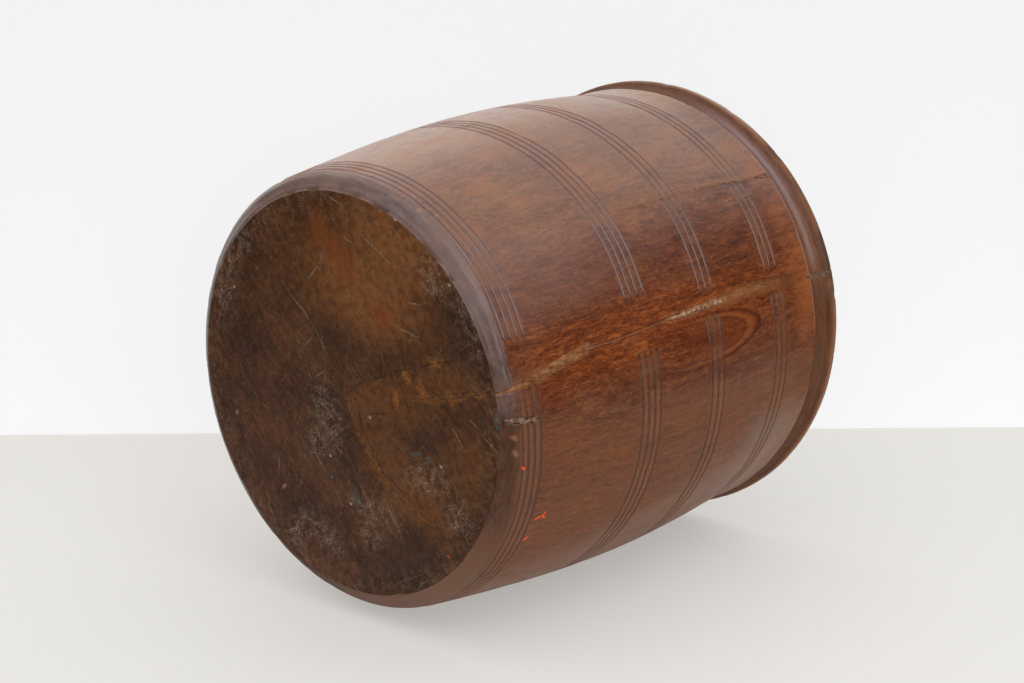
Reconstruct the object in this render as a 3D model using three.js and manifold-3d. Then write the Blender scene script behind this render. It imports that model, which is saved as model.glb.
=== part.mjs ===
// Turned wooden grain bowl with filled cracks, in millimetres.
// +Z runs up the turning axis, the base face lies on Z = 0, and the main crack is on the -Y side.
// Angles are degrees about the axis from -Y, positive towards +X.
import * as THREE from "three";
import { mergeVertices } from "three/addons/utils/BufferGeometryUtils.js";
import Module from "manifold-3d";

const wasm = await Module();
wasm.setup();

// Turned outside
const bowlHeight = 226;
const bellyRadius = 111.2;
const bellyShare = 0.608; // height of the widest place, as a share of the bowl's height
const neckDrop = 2.2; // how much narrower the neck is than the belly
const footDrop = 12.4; // how much narrower the foot is than the belly
const footBevel = 7.6; // how far the base face stands in from the foot
const footHeight = 5.8;
const footRidgeShare = 0.6; // where the bevel's soft ridge lies, as a share of the bevel
const footRidgeLift = 0.6; // how far the ridge stands out of the straight bevel
const segments = 64;
const wallStep = 22; // height between the rings of the plain wall, at most

// Lip: an arris, a hollow under it and a round bead at the top
const lipHeight = 16; // from the arris to the rim's top
const neckFlare = 13; // height over which the neck flares to the arris
const arrisFlare = 0.9; // how far the arris stands out past the neck
const hollowDepth = 3.4; // below the arris
const beadRadius = 2.6;
const beadReach = 2.6; // how far the bead stands out past the arris
const hollowSteps = 6;
const beadSteps = 7;

// Grooves, in groups that start at a share of the bowl's height, with the pitch in groove widths
const grooveWidth = 1.6;
const grooveDepth = 0.8;
const grooveGroups = [
  { start: 0.0332, pitch: 2.125, count: 4 },
  { start: 0.3398, pitch: 2.42, count: 4 },
  { start: 0.5513, pitch: 2.78, count: 3 },
  { start: 0.7872, pitch: 3.03, count: 3 },
];

// Hollow inside
const wallThickness = 11;
const floorThickness = 18;
const insideCorner = 18;
const insideCornerSteps = 5;
const rimInnerRound = 2.5;
const insideWallSteps = 6;

// Drying has pulled the wall in along the main crack, where the grooves are sanded away
const crackAngle = 6;
const wallSink = 3;
const sinkRiseShare = 0.045; // height over which the sinking sets in above the base, as a share
const sinkSpreadLeft = 18;
const sinkSpreadRight = 32;
const sandedHalfAngle = 5;
const sandedFade = 5;

// Fillings and the channels they sit in
const fillClearance = 0.3;
const wallChannelDepth = 4.5;
const baseChannelDepth = 5;
const lipChannelDepth = 3.5; // behind the bottom of the hollow
const channelOvershoot = 4; // how far a cutter stands out of the surface
const crackHalfWidth = 2;
const hairlineWidth = 0.8;
const hairlineDepth = 2;

// Each wall row is a share of the bowl's height, an angle and a share of crackHalfWidth
const footFillRow = [
  [0.007, 12.2, 0.8],
  [0.034, 12.2, 0.9],
  [0.084, 11.3, 1.05],
  [0.137, 10.1, 1.15],
  [0.179, 8.5, 1.15],
  [0.222, 6.8, 1.05],
];
const lowerHairlineRow = [
  [0.221, 6.8, 0],
  [0.328, 6.4, 0],
  [0.43, 6.1, 0],
];
const paleFillRow = [
  [0.429, 6.1, 0.65],
  [0.475, 6, 0.85],
  [0.538, 5.9, 0.85],
  [0.612, 5.8, 0.9],
];
const brownFillRow = [
  [0.621, 5.8, 1.1],
  [0.677, 6.1, 1.3],
  [0.756, 7, 1.1],
];
const upperHairlineRow = [
  [0.755, 7, 0],
  [0.862, 7.9, 0],
  [0.925, 8.4, 0],
];
const secondCrackRow = [
  [0.444, -20.8, 0.45],
  [0.553, -20.7, 0.475],
  [0.696, -21, 0.5],
  [0.821, -20.5, 0.5],
  [0.891, -20, 0.5],
];
const footChipRow = [
  [0.008, 18.2, 0.75],
  [0.036, 19.3, 0.9],
  [0.073, 20.5, 0.75],
];
const rimFillRow = [
  [0.926, 8.4, 1.7],
  [0.96, 8.6, 2],
  [1.02, 8.8, 2],
];
const lipChipRow = [
  [0.9, -20, 1.4],
  [0.952, -19.8, 1.6],
];

// Each base row is a pair of shares of the base face's radius (to +X, to +Y) and a share of crackHalfWidth
const baseCrackRow = [
  [0.105, -0.4, 0.7],
  [0.139, -0.535, 0.9],
  [0.144, -0.64, 0.95],
  [0.164, -0.79, 0.8],
  [0.178, -0.885, 0.7],
];
const curvedCrackRow = [
  [0.035, -0.02, 0.6],
  [0.17, -0.008, 0.75],
  [0.275, -0.031, 0.85],
  [0.438, -0.1, 0.85],
  [0.548, -0.157, 0.75],
  [0.724, -0.325, 0.6],
];

// Derived heights and radii
const footRadius = bellyRadius - footDrop;
const baseFaceRadius = footRadius - footBevel;
const neckRadius = bellyRadius - neckDrop;
const arrisRadius = neckRadius + arrisFlare;
const arrisHeight = bowlHeight - lipHeight;
const neckHeight = arrisHeight - neckFlare;
const bellyHeight = Math.min(bellyShare * bowlHeight, neckHeight - neckFlare);
const hollowRadius = arrisRadius - hollowDepth;
const beadCentreRadius = arrisRadius + beadReach - beadRadius;
const beadCentreHeight = bowlHeight - beadRadius;
const rimInnerRadius = neckRadius - wallThickness;

const radians = (degrees) => (degrees * Math.PI) / 180;

function smoothStep(low, high, value) {
  const t = Math.min(1, Math.max(0, (value - low) / (high - low)));
  return t * t * (3 - 2 * t);
}

// Outside radius of the turned wall from the foot to the arris, before any sinking.
function wallRadius(z) {
  if (z <= footHeight) {
    const t = Math.max(0, z / footHeight);
    return baseFaceRadius + (footRadius - baseFaceRadius) * t;
  }
  if (z <= bellyHeight) {
    const t = (z - footHeight) / (bellyHeight - footHeight);
    return footRadius + (bellyRadius - footRadius) * Math.sin((t * Math.PI) / 2);
  }
  if (z <= neckHeight) {
    const t = (z - bellyHeight) / (neckHeight - bellyHeight);
    return bellyRadius - (bellyRadius - neckRadius) * t * t;
  }
  const t = Math.min(1, (z - neckHeight) / neckFlare);
  return neckRadius + (arrisRadius - neckRadius) * t * t;
}

// How far the wall is pulled in at a height and an angle in degrees.
function sinkAt(z, degrees) {
  const away = ((degrees - crackAngle + 540) % 360) - 180;
  const spread = away < 0 ? sinkSpreadLeft : sinkSpreadRight;
  const low = smoothStep(0, sinkRiseShare * bowlHeight, z);
  const high = 1 - smoothStep(neckHeight - neckFlare / 2, bowlHeight - beadRadius, z);
  return wallSink * Math.exp(-((away / spread) ** 2)) * low * high;
}

// Share of the full groove depth left at an angle in degrees.
function grooveLeft(degrees) {
  const away = Math.abs(((degrees - crackAngle + 540) % 360) - 180);
  return smoothStep(sandedHalfAngle, sandedHalfAngle + sandedFade, away);
}

// Profile of the bowl, from the base centre over the outside and back down the inside to the axis.
function bowlProfile() {
  const points = [];
  const add = (r, z, cut = 0) => points.push({ r, z, cut });
  add(0, 0);
  add(baseFaceRadius, 0);
  const ridgeHeight = footRidgeShare * footHeight;
  add(wallRadius(ridgeHeight) + footRidgeLift, ridgeHeight);

  let last = footHeight;
  add(footRadius, footHeight);
  for (const { start, pitch, count } of grooveGroups) {
    const span = ((count - 1) * pitch + 1) * grooveWidth;
    const first = Math.min(start * bowlHeight, neckHeight - span) - grooveWidth / 2;
    const steps = Math.max(1, Math.round((first - last) / wallStep));
    for (let k = 1; k < steps; k++) {
      const z = last + ((first - last) * k) / steps;
      add(wallRadius(z), z);
    }
    for (let k = 0; k < count; k++) {
      const z = first + (0.5 + k * pitch) * grooveWidth;
      add(wallRadius(z - grooveWidth / 2), z - grooveWidth / 2);
      add(wallRadius(z), z, grooveDepth);
      add(wallRadius(z + grooveWidth / 2), z + grooveWidth / 2);
    }
    last = first + span;
  }
  add(neckRadius, neckHeight);
  add(wallRadius(neckHeight + 0.6 * neckFlare), neckHeight + 0.6 * neckFlare);
  add(arrisRadius, arrisHeight);

  // The hollow runs from under the arris to the root of the bead.
  const rootAngle = 125; // from the bead's top, over its outside
  const rootRadius = beadCentreRadius + beadRadius * Math.sin(radians(rootAngle));
  const rootHeight = beadCentreHeight + beadRadius * Math.cos(radians(rootAngle));
  for (let k = 1; k < hollowSteps; k++) {
    const t = k / hollowSteps;
    const chord = arrisRadius + (rootRadius - arrisRadius) * t;
    const dip = hollowDepth * Math.sin(Math.PI * Math.sqrt(t));
    add(chord - dip, arrisHeight + (rootHeight - arrisHeight) * t);
  }
  for (let k = 0; k <= beadSteps; k++) {
    const turn = radians(rootAngle * (1 - k / beadSteps));
    add(beadCentreRadius + beadRadius * Math.sin(turn), beadCentreHeight + beadRadius * Math.cos(turn));
  }

  // Rim and inside
  add(rimInnerRadius + rimInnerRound, bowlHeight);
  add(rimInnerRadius + 0.3 * rimInnerRound, bowlHeight - 0.3 * rimInnerRound);
  add(rimInnerRadius, bowlHeight - rimInnerRound);
  const cornerTop = floorThickness + insideCorner;
  for (let k = 0; k <= insideWallSteps; k++) {
    const z = neckHeight + ((cornerTop - neckHeight) * k) / insideWallSteps;
    add(wallRadius(z) - wallThickness, z);
  }
  const cornerRadius = wallRadius(cornerTop) - wallThickness - insideCorner;
  for (let k = 1; k <= insideCornerSteps; k++) {
    const turn = radians((90 * k) / insideCornerSteps);
    add(cornerRadius + insideCorner * Math.cos(turn), cornerTop - insideCorner * Math.sin(turn));
  }
  add(0, floorThickness);
  return points;
}

// A three.js geometry as a closed solid.
function solidOf(geometry) {
  geometry.deleteAttribute("normal");
  geometry.deleteAttribute("uv");
  const merged = mergeVertices(geometry, 1e-4);
  return new wasm.Manifold(
    new wasm.Mesh({
      numProp: 3,
      vertProperties: new Float32Array(merged.attributes.position.array),
      triVerts: new Uint32Array(merged.index.array),
    }),
  );
}

// The turned block with its grooves, before the channels are cut.
function turnedBlock() {
  const points = bowlProfile();
  const outline = points.map(({ r, z }) => new THREE.Vector2(r, z));
  const geometry = new THREE.LatheGeometry(outline, segments);
  geometry.rotateX(Math.PI / 2);
  const position = geometry.attributes.position;
  for (let i = 0; i < position.count; i++) {
    const { r, z, cut } = points[i % points.length];
    const degrees = (360 * Math.floor(i / points.length)) / segments;
    const radius = r === 0 ? 0 : r - cut * grooveLeft(degrees) - sinkAt(z, degrees);
    const turn = radians(degrees % 360);
    position.setXYZ(i, radius * Math.sin(turn), -radius * Math.cos(turn), z);
  }
  return solidOf(geometry);
}

// A closed bar through a row of four-cornered sections, whose corners go round to the left as seen from the bar's end.
function bar(sections) {
  const vertices = sections.flat();
  const index = [];
  for (let s = 0; s + 1 < sections.length; s++) {
    for (let c = 0; c < 4; c++) {
      const a = 4 * s + c;
      const b = 4 * s + ((c + 1) % 4);
      index.push(a, b, b + 4, a, b + 4, a + 4);
    }
  }
  const end = 4 * (sections.length - 1);
  index.push(0, 2, 1, 0, 3, 2, end, end + 1, end + 2, end, end + 2, end + 3);
  const made = new THREE.BufferGeometry().setFromPoints(vertices);
  made.setIndex(index);
  return solidOf(made);
}

// A cutter along a row on the wall: floorAt gives the channel floor's radius from the surface's, and grow widens it.
function wallBar(row, floorAt, grow) {
  const last = row.length - 1;
  const sections = row.map(([share, degrees, width], k) => {
    const half = width * crackHalfWidth + grow;
    const end = k === 0 ? -grow : k === last ? grow : 0;
    const z = share * bowlHeight + end;
    const surface = wallRadius(z) - sinkAt(z, degrees);
    const inner = floorAt(surface) - grow;
    const outer = Math.max(surface, arrisRadius) + channelOvershoot;
    const corner = (r, side) => {
      const turn = radians(degrees) + (side * half) / surface;
      return new THREE.Vector3(r * Math.sin(turn), -r * Math.cos(turn), z);
    };
    return [corner(outer, -1), corner(outer, 1), corner(inner, 1), corner(inner, -1)];
  });
  return bar(sections);
}

// A cutter along a row on the base face.
function baseBar(row, depth, grow) {
  const middle = row.map(([x, y]) => new THREE.Vector2(x, y).multiplyScalar(baseFaceRadius));
  const last = row.length - 1;
  const sections = row.map(([, , width], k) => {
    const half = width * crackHalfWidth + grow;
    const ahead = middle[Math.min(k + 1, last)];
    const behind = middle[Math.max(k - 1, 0)];
    const along = ahead.clone().sub(behind).normalize();
    const across = new THREE.Vector2(-along.y, along.x).multiplyScalar(half);
    const end = k === 0 ? -grow : k === last ? grow : 0;
    const centre = middle[k].clone().addScaledVector(along, end);
    const corner = (side, z) =>
      new THREE.Vector3(centre.x + side * across.x, centre.y + side * across.y, z);
    const top = depth + grow;
    return [corner(-1, -channelOvershoot), corner(1, -channelOvershoot), corner(1, top), corner(-1, top)];
  });
  return bar(sections);
}

function meshOf(name, solid) {
  const made = solid.getMesh();
  const geometry = new THREE.BufferGeometry();
  geometry.setAttribute("position", new THREE.BufferAttribute(new Float32Array(made.vertProperties), 3));
  geometry.setIndex(new THREE.BufferAttribute(new Uint32Array(made.triVerts), 1));
  geometry.computeVertexNormals();
  const mesh = new THREE.Mesh(geometry, new THREE.MeshStandardMaterial());
  mesh.name = name;
  return mesh;
}

const inWall = (surface) => surface - wallChannelDepth;
const inLip = () => hollowRadius - lipChannelDepth;
const inHairline = (surface) => surface - hairlineDepth;
const cutters = {
  crack_fill_foot: (grow) => wallBar(footFillRow, inWall, grow),
  crack_fill_pale: (grow) => wallBar(paleFillRow, inWall, grow),
  crack_fill_brown: (grow) => wallBar(brownFillRow, inWall, grow),
  rim_fill: (grow) => wallBar(rimFillRow, inLip, grow),
  second_crack_fill: (grow) => wallBar(secondCrackRow, inWall, grow),
  lip_chip_fill: (grow) => wallBar(lipChipRow, inLip, grow),
  base_crack_fill: (grow) => baseBar(baseCrackRow, baseChannelDepth, grow),
  base_crack_fill_curved: (grow) => baseBar(curvedCrackRow, baseChannelDepth, grow),
  foot_chip_fill: (grow) => wallBar(footChipRow, inWall, grow),
};

// A filling is what its cutter takes out of the block, less the clearance; the channel is cut to full size.
const block = turnedBlock();
const bowl = new THREE.Group();
let body = block;
const fills = [];
for (const [name, cutter] of Object.entries(cutters)) {
  fills.push(meshOf(name, block.intersect(cutter(-fillClearance))));
  body = body.subtract(cutter(0));
}
for (const row of [lowerHairlineRow, upperHairlineRow]) {
  body = body.subtract(wallBar(row, inHairline, hairlineWidth / 2));
}
bowl.add(meshOf("bowl_body", body));
fills.forEach((fill) => bowl.add(fill));

export default bowl;
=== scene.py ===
import math

import bmesh
import bpy
import numpy as np
from mathutils import Matrix, Vector, noise


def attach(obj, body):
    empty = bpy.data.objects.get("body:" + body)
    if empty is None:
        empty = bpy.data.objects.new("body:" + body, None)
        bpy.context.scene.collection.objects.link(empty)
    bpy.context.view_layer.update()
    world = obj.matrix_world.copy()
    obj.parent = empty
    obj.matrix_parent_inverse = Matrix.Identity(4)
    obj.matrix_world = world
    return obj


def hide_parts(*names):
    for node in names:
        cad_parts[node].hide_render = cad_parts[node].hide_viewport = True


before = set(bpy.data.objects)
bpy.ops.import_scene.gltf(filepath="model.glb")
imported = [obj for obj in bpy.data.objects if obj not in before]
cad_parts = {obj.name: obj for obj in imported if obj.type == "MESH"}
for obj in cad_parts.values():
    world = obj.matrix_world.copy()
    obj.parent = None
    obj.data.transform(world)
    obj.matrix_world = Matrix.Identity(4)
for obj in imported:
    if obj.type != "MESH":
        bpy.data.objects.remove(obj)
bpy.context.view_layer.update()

# Camera: it stands where the photograph was taken, in front of the base and a little above the table.
# The bowl stays upright in the shared frame, so the camera is what leans.
camera_place = Vector((0.0, -0.5983, -0.5141))
camera_right = Vector((0.3135, -0.6868, 0.6558)).normalized()
camera_up = Vector((-0.9496, -0.2265, 0.2168)).normalized()
camera_back = camera_right.cross(camera_up)
photo_width_pixels = 1024
focal_length_pixels = 1800
camera_data = bpy.data.cameras.new("photo_camera")
camera_data.sensor_width = 36
camera_data.lens = camera_data.sensor_width * focal_length_pixels / photo_width_pixels
camera_data.clip_start = 0.01
camera = bpy.data.objects.new("photo_camera", camera_data)
camera_turn = Matrix((camera_right, camera_up, camera_back)).transposed().to_4x4()
camera.matrix_world = Matrix.Translation(camera_place) @ camera_turn
scene = bpy.context.scene
scene.collection.objects.link(camera)
scene.camera = camera

# Table and wall: a plain pale top that the bowl lies on, on its side, and a plain white wall behind it.
# Both show from their front only, so they don't hide the bowl in views from behind them.
table_up = Vector((-0.9273, -0.3701, 0.0558)).normalized()
table_right = Vector((0.3073, -0.6679, 0.6778)).normalized()
table_back = table_up.cross(table_right)
bowl_touches_table = Vector((0.1023, 0.0413, 0.1050))
wall_behind_bowl = 0.2405
table_before_bowl = 0.26
stage_half_width = 0.44
wall_top = 0.42
table_colour = (0.77, 0.735, 0.69)
table_glow = (0.80, 0.775, 0.735)
table_glow_share = 0.5
table_roughness = 0.6
wall_colour = (0.90, 0.90, 0.895)
wall_glow = (1.0, 1.0, 1.0)
wall_glow_share = 0.62
wall_roughness = 0.9


def put(tree, kind, values=None, **settings):
    """A node of this kind with its settings, and its inputs set to values or linked to fields and sockets."""
    made = tree.nodes.new(kind)
    for name, value in settings.items():
        setattr(made, name, value)
    for key, value in (values or {}).items():
        if isinstance(value, Field):
            value = value.socket
        if isinstance(value, bpy.types.NodeSocket):
            tree.links.new(value, made.inputs[key])
        else:
            made.inputs[key].default_value = value
    return made


def get(tree, kind, values=None, output=0, **settings):
    """What a new node puts out, as a field."""
    return Field(put(tree, kind, values, **settings).outputs[output])


class Field:
    """A number, a vector or a colour that varies from place to place, with sums written as sums."""

    def __init__(self, socket):
        self.socket = socket
        self.tree = socket.id_data

    def sum(self, operation, *others):
        """One sum on this and other numbers."""
        return get(self.tree, "ShaderNodeMath", dict(enumerate((self, *others))), operation=operation)

    def __add__(self, other):
        return self.sum("ADD", other)

    def __sub__(self, other):
        return self.sum("SUBTRACT", other)

    def __mul__(self, other):
        return self.sum("MULTIPLY", other)

    def __truediv__(self, other):
        return self.sum("DIVIDE", other)

    def __rtruediv__(self, other):
        return get(self.tree, "ShaderNodeMath", {0: other, 1: self}, operation="DIVIDE")

    def __abs__(self):
        return self.sum("ABSOLUTE")

    def ramp(self, low, high, to_low=0.0, to_high=1.0):
        """This number brought from one range to another, with an even run between."""
        values = {"Value": self, "From Min": low, "From Max": high, "To Min": to_low, "To Max": to_high}
        return get(self.tree, "ShaderNodeMapRange", values, interpolation_type="SMOOTHSTEP")

    def falling(self, low, high):
        """One up to the low number and nought from the high one on."""
        return self.ramp(low, high, 1.0, 0.0)

    def between(self, rise_from, rise_to, fall_from, fall_to):
        """One between two runs and nought outside them."""
        return self.ramp(rise_from, rise_to) * self.falling(fall_from, fall_to)

    def tones(self, *stops):
        """A colour for this number, from a row of stops."""
        made = put(self.tree, "ShaderNodeValToRGB", {0: self})
        band = made.color_ramp.elements
        for k, (at, colour) in enumerate(stops):
            stop = band[k] if k < 2 else band.new(at)
            stop.position = at
            stop.color = (*colour, 1)
        return Field(made.outputs[0])


def start_material(name):
    """An empty node material."""
    made = bpy.data.materials.new(name)
    made.use_nodes = True
    made.node_tree.nodes.clear()
    return made


def one_sided(name, colour, roughness, glow_colour, glow_share):
    """A plain painted surface, paler to the eye by a share of glow, that is clear when seen from behind."""
    made = start_material(name)
    tree = made.node_tree
    ray = put(tree, "ShaderNodeLightPath").outputs
    seen = Field(ray["Is Camera Ray"])
    for other in ("Is Glossy Ray", "Is Transmission Ray"):
        seen = seen.sum("MAXIMUM", ray[other])
    paint = get(tree, "ShaderNodeBsdfPrincipled", {"Base Color": (*colour, 1), "Roughness": roughness})
    glow = get(tree, "ShaderNodeEmission", {"Color": (*glow_colour, 1), "Strength": 1.0})
    paint = get(tree, "ShaderNodeMixShader", {0: seen * glow_share, 1: paint, 2: glow})
    behind = get(tree, "ShaderNodeNewGeometry", output="Backfacing")
    clear = get(tree, "ShaderNodeBsdfTransparent")
    front = get(tree, "ShaderNodeMixShader", {0: behind, 1: paint, 2: clear})
    put(tree, "ShaderNodeOutputMaterial", {"Surface": front})
    return made


def stage_sheet(name, corners, material):
    """A flat sheet of the stage, facing the side from which its four corners go round to the left."""
    mesh = bpy.data.meshes.new(name)
    mesh.from_pydata([tuple(corner) for corner in corners], [], [(0, 1, 2, 3)])
    mesh.materials.append(material)
    made = bpy.data.objects.new(name, mesh)
    scene.collection.objects.link(made)


wall_foot = bowl_touches_table + wall_behind_bowl * table_back
table_front = bowl_touches_table - table_before_bowl * table_back
sideways = stage_half_width * table_right
wall_head = wall_foot + wall_top * table_up
stage_sheet(
    "table_top",
    (table_front - sideways, table_front + sideways, wall_foot + sideways, wall_foot - sideways),
    one_sided("whitewashed_top", table_colour, table_roughness, table_glow, table_glow_share),
)
stage_sheet(
    "back_wall",
    (wall_foot - sideways, wall_foot + sideways, wall_head + sideways, wall_head - sideways),
    one_sided("white_plaster", wall_colour, wall_roughness, wall_glow, wall_glow_share),
)

# Light: soft daylight from overhead and from the front, dim towards both sides, with one wide panel above.
panel_above = 1.05
panel_before = 1.35
panel_to_right = 0.35
panel_data = bpy.data.lights.new("sky_panel", "AREA")
panel_data.shape = "SQUARE"
panel_data.size = 1.6
panel_data.energy = 10
panel_data.color = (0.96, 0.98, 1.0)
panel = bpy.data.objects.new("sky_panel", panel_data)
panel_way = panel_above * table_up - panel_before * table_back + panel_to_right * table_right
panel_turn = (-panel_way).normalized().to_track_quat("-Z", "Y").to_matrix().to_4x4()
panel.matrix_world = Matrix.Translation(bowl_touches_table + panel_way) @ panel_turn
scene.collection.objects.link(panel)

scene.view_settings.view_transform = "Standard"
low_sky = (0.08, 0.076, 0.072)
high_sky = (1.27, 1.32, 1.40)
front_sky = (1.05, 1.07, 1.12)
front_way = (0.30 * table_up - 0.95 * table_back).normalized()
world = bpy.data.worlds.new("pale_sky")
world.use_nodes = True
sky = world.node_tree
sky_way = get(sky, "ShaderNodeTexCoord", output="Generated")


def vectors(operation, first, *others, output=0):
    """The result of one sum on vectors."""
    values = dict(enumerate((first, *others)))
    return get(first.tree, "ShaderNodeVectorMath", values, output, operation=operation)


def coats(under, *layers):
    """Colours laid over one another: each layer has its share, its colour and maybe another way to mix."""
    for share, over, *kind in layers:
        values = {0: share}
        for key, colour in ((6, under), (7, over)):
            values[key] = (*colour, 1) if isinstance(colour, tuple) else colour
        mixing = kind[0] if kind else "MIX"
        under = get(share.tree, "ShaderNodeMix", values, 2, data_type="RGBA", blend_type=mixing)
    return under


above_table = vectors("DOT_PRODUCT", sky_way, table_up, output="Value")
before_table = vectors("DOT_PRODUCT", sky_way, front_way, output="Value")
sky_colour = coats(
    low_sky,
    (above_table.ramp(0.22, 0.75), high_sky),
    (before_table.ramp(0.40, 0.92) * above_table.ramp(-0.05, 0.12), front_sky),
)
sky.links.new(sky_colour.socket, sky.nodes["Background"].inputs["Color"])
scene.world = world

# Bowl body: one block of hardwood turned on a lathe, with a bevelled foot, cut grooves and a beaded lip.
# The lathe's rule makes the mesh: a profile goes round the axis, the wall sinks in along the main crack, and
# the grooves run out where it was sanded. The cracks and the wear are then worked into the mesh.
mm = 0.001
per_mm = 1 / mm
bowl_height = 226.0
belly_radius = 111.2
belly_height = 137.4
neck_radius = 109.0
neck_height = 197.0
foot_radius = 98.8
foot_height = 5.8
foot_ridge_lift = 0.6
foot_ridge_at, foot_ridge_spread = 0.6, 0.2
foot_round = 0.45
foot_round_reach = 2.2
base_radius = 91.2
base_round = 0.7
arris_radius = 109.9
arris_height = 210.0
hollow_depth = 3.4
bead_half_height = 3.2
bead_bulge = 3.2
bead_reach = 2.6
groove_width = 1.8
groove_depth = 0.65
groove_groups = ((7.5, 3.4, 4), (76.8, 3.87, 4), (124.6, 4.45, 3), (177.9, 4.85, 3))
wall_thickness = 11.0
floor_thickness = 18.0
inside_corner = 18.0
crack_angle = 6.0
wall_sink = 3.0
sink_end_height = 223.4
sink_spread_left = 18.0
sink_spread_right = 32.0
sanded_half_angle = 5.0
sanded_fade = 5.0


def smooth(low, high, value):
    """Zero below low and one above high, with an even run between them."""
    t = np.clip((value - low) / (high - low), 0, 1)
    return t * t * (3 - 2 * t)


def wall_radius(z):
    """Radius of the turned wall in millimetres at a height above the foot."""
    if z <= belly_height:
        t = (z - foot_height) / (belly_height - foot_height)
        rounded = foot_round * (1 - smooth(foot_height, foot_height + foot_round_reach, z))
        return foot_radius + (belly_radius - foot_radius) * math.sin(t * math.pi / 2) - rounded
    if z <= neck_height:
        t = (z - belly_height) / (neck_height - belly_height)
        return belly_radius - (belly_radius - neck_radius) * t * t
    t = min(1, (z - neck_height) / (arris_height - neck_height))
    return neck_radius + (arris_radius - neck_radius) * t * t


ON_BASE, ON_WALL, ON_LIP, ON_INSIDE = 1.0, 0.0, -0.5, -1.0
profile = []


def turn(radius, height, groove=0.0, ridge=0.0, zone=ON_WALL):
    """One more point of the profile, from the middle of the base out, up and in again."""
    profile.append((radius, height, groove, ridge, zone))


def turn_round(radius, height, out, up, degrees, zone):
    """Points of the profile on an arc about a centre, at these angles from the axis."""
    for angle in np.radians(degrees):
        turn(radius + out * math.sin(angle), height + up * math.cos(angle), zone=zone)


# Base face and its rounded edge
base_rings = 56
for radius in np.linspace(0, base_radius - base_round, base_rings):
    turn(radius, 0, zone=ON_BASE)
turn_round(base_radius - base_round, base_round, base_round, -base_round, (26,), ON_BASE)
turn_round(base_radius - base_round, base_round, base_round, -base_round, (52, 78), ON_WALL)

# Bevel of the foot with its soft ridge
bevel_start = 0.09
for t in np.linspace(bevel_start, 1, 12)[1:]:
    ridge = foot_ridge_lift * math.exp(-(((t - foot_ridge_at) / foot_ridge_spread) ** 2))
    rounded = foot_round * smooth(0.70, 1.0, t)
    turn(base_radius + (foot_radius - base_radius) * t + ridge - rounded, foot_height * t)

# Wall with its groove groups
groove_cut = ((-1, 0), (-0.62, 0.2), (-0.34, 0.72), (0, 1), (0.34, 0.72), (0.62, 0.2), (1, 0))
ridge_edge = 0.5
wall_ring_step = 2.8
last_height = foot_height
for first, pitch, count in groove_groups:
    start = first - groove_width / 2
    steps = max(1, round((start - ridge_edge - last_height) / wall_ring_step))
    for height in np.linspace(last_height, start - ridge_edge, steps + 1)[1:]:
        turn(wall_radius(height), height)
    for k in range(count):
        for across, cut in groove_cut:
            height = first + k * pitch + across * groove_width / 2
            turn(wall_radius(height), height, groove=cut, ridge=float(cut == 0))
    last_height = first + (count - 1) * pitch + groove_width / 2 + ridge_edge
    turn(wall_radius(last_height), last_height)

# Neck, flare and arris
flare_end = arris_height - 0.5
for height in np.linspace(last_height, flare_end, 10)[1:]:
    turn(wall_radius(height), height)
turn(arris_radius - 0.12, arris_height - 0.1)
turn(arris_radius - 0.2, arris_height + 0.35)

# Hollow under the bead, then the bead itself
lip_start = len(profile) - 2
root_angle = 150
bead_centre = arris_radius + bead_reach - bead_bulge
bead_middle = bowl_height - bead_half_height
root_radius = bead_centre + bead_bulge * math.sin(math.radians(root_angle))
root_height = bead_middle + bead_half_height * math.cos(math.radians(root_angle))
for t in np.linspace(0, 1, 15)[1:-1]:
    chord = arris_radius + (root_radius - arris_radius) * t
    depth = hollow_depth * math.sin(math.pi * t**0.7)
    turn(chord - depth, arris_height + (root_height - arris_height) * t, zone=ON_LIP)
bead_angles = np.linspace(root_angle, 0, 15)
turn_round(bead_centre, bead_middle, bead_bulge, bead_half_height, bead_angles, ON_LIP)
lip_end = len(profile)

# Rim and hollow inside
inner_round = 2.5
inner_edge = neck_radius - wall_thickness + inner_round
edge_angles = np.linspace(0, 90, 7)
turn_round(inner_edge, bowl_height - inner_round, -inner_round, inner_round, edge_angles[:2], ON_LIP)
turn_round(inner_edge, bowl_height - inner_round, -inner_round, inner_round, edge_angles[2:], ON_INSIDE)
corner_top = floor_thickness + inside_corner
for height in np.linspace(neck_height, corner_top, 15):
    turn(wall_radius(height) - wall_thickness, height, zone=ON_INSIDE)
corner_radius = wall_radius(corner_top) - wall_thickness - inside_corner
corner_angles = np.linspace(90, 180, 9)[1:]
turn_round(corner_radius, corner_top, inside_corner, inside_corner, corner_angles, ON_INSIDE)
for radius in np.linspace(corner_radius, 0, 7)[1:]:
    turn(radius, floor_thickness, zone=ON_INSIDE)

profile_table = np.array(profile)
profile_mesh = bpy.data.meshes.new("bowl_profile")


def links_of(points):
    """The edges that join points in a row."""
    return [(k, k + 1) for k in range(len(points) - 1)]


profile_points = [(radius * mm, 0, height * mm) for radius, height, _, _, _ in profile]
profile_mesh.from_pydata(profile_points, links_of(profile), [])


def sink_at(height):
    """How much of the sink along the main crack reaches this height."""
    return smooth(0, 10, height) * (1 - smooth(neck_height - 6.5, sink_end_height, height))


def sanding_at(height):
    """How wide the band is, at this height, in which the grooves were sanded away."""
    return np.interp(height, (50, 60, 100, 115, bowl_height), (0.9, 1.0, 1.0, 0.45, 0.4))


for name, values in (
    ("groove", profile_table[:, 2]),
    ("ridge", profile_table[:, 3]),
    ("zone", profile_table[:, 4]),
    ("sink", sink_at(profile_table[:, 1])),
    ("sanding", sanding_at(profile_table[:, 1])),
):
    profile_mesh.attributes.new(name, "FLOAT", "POINT").data.foreach_set("value", values)


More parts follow.
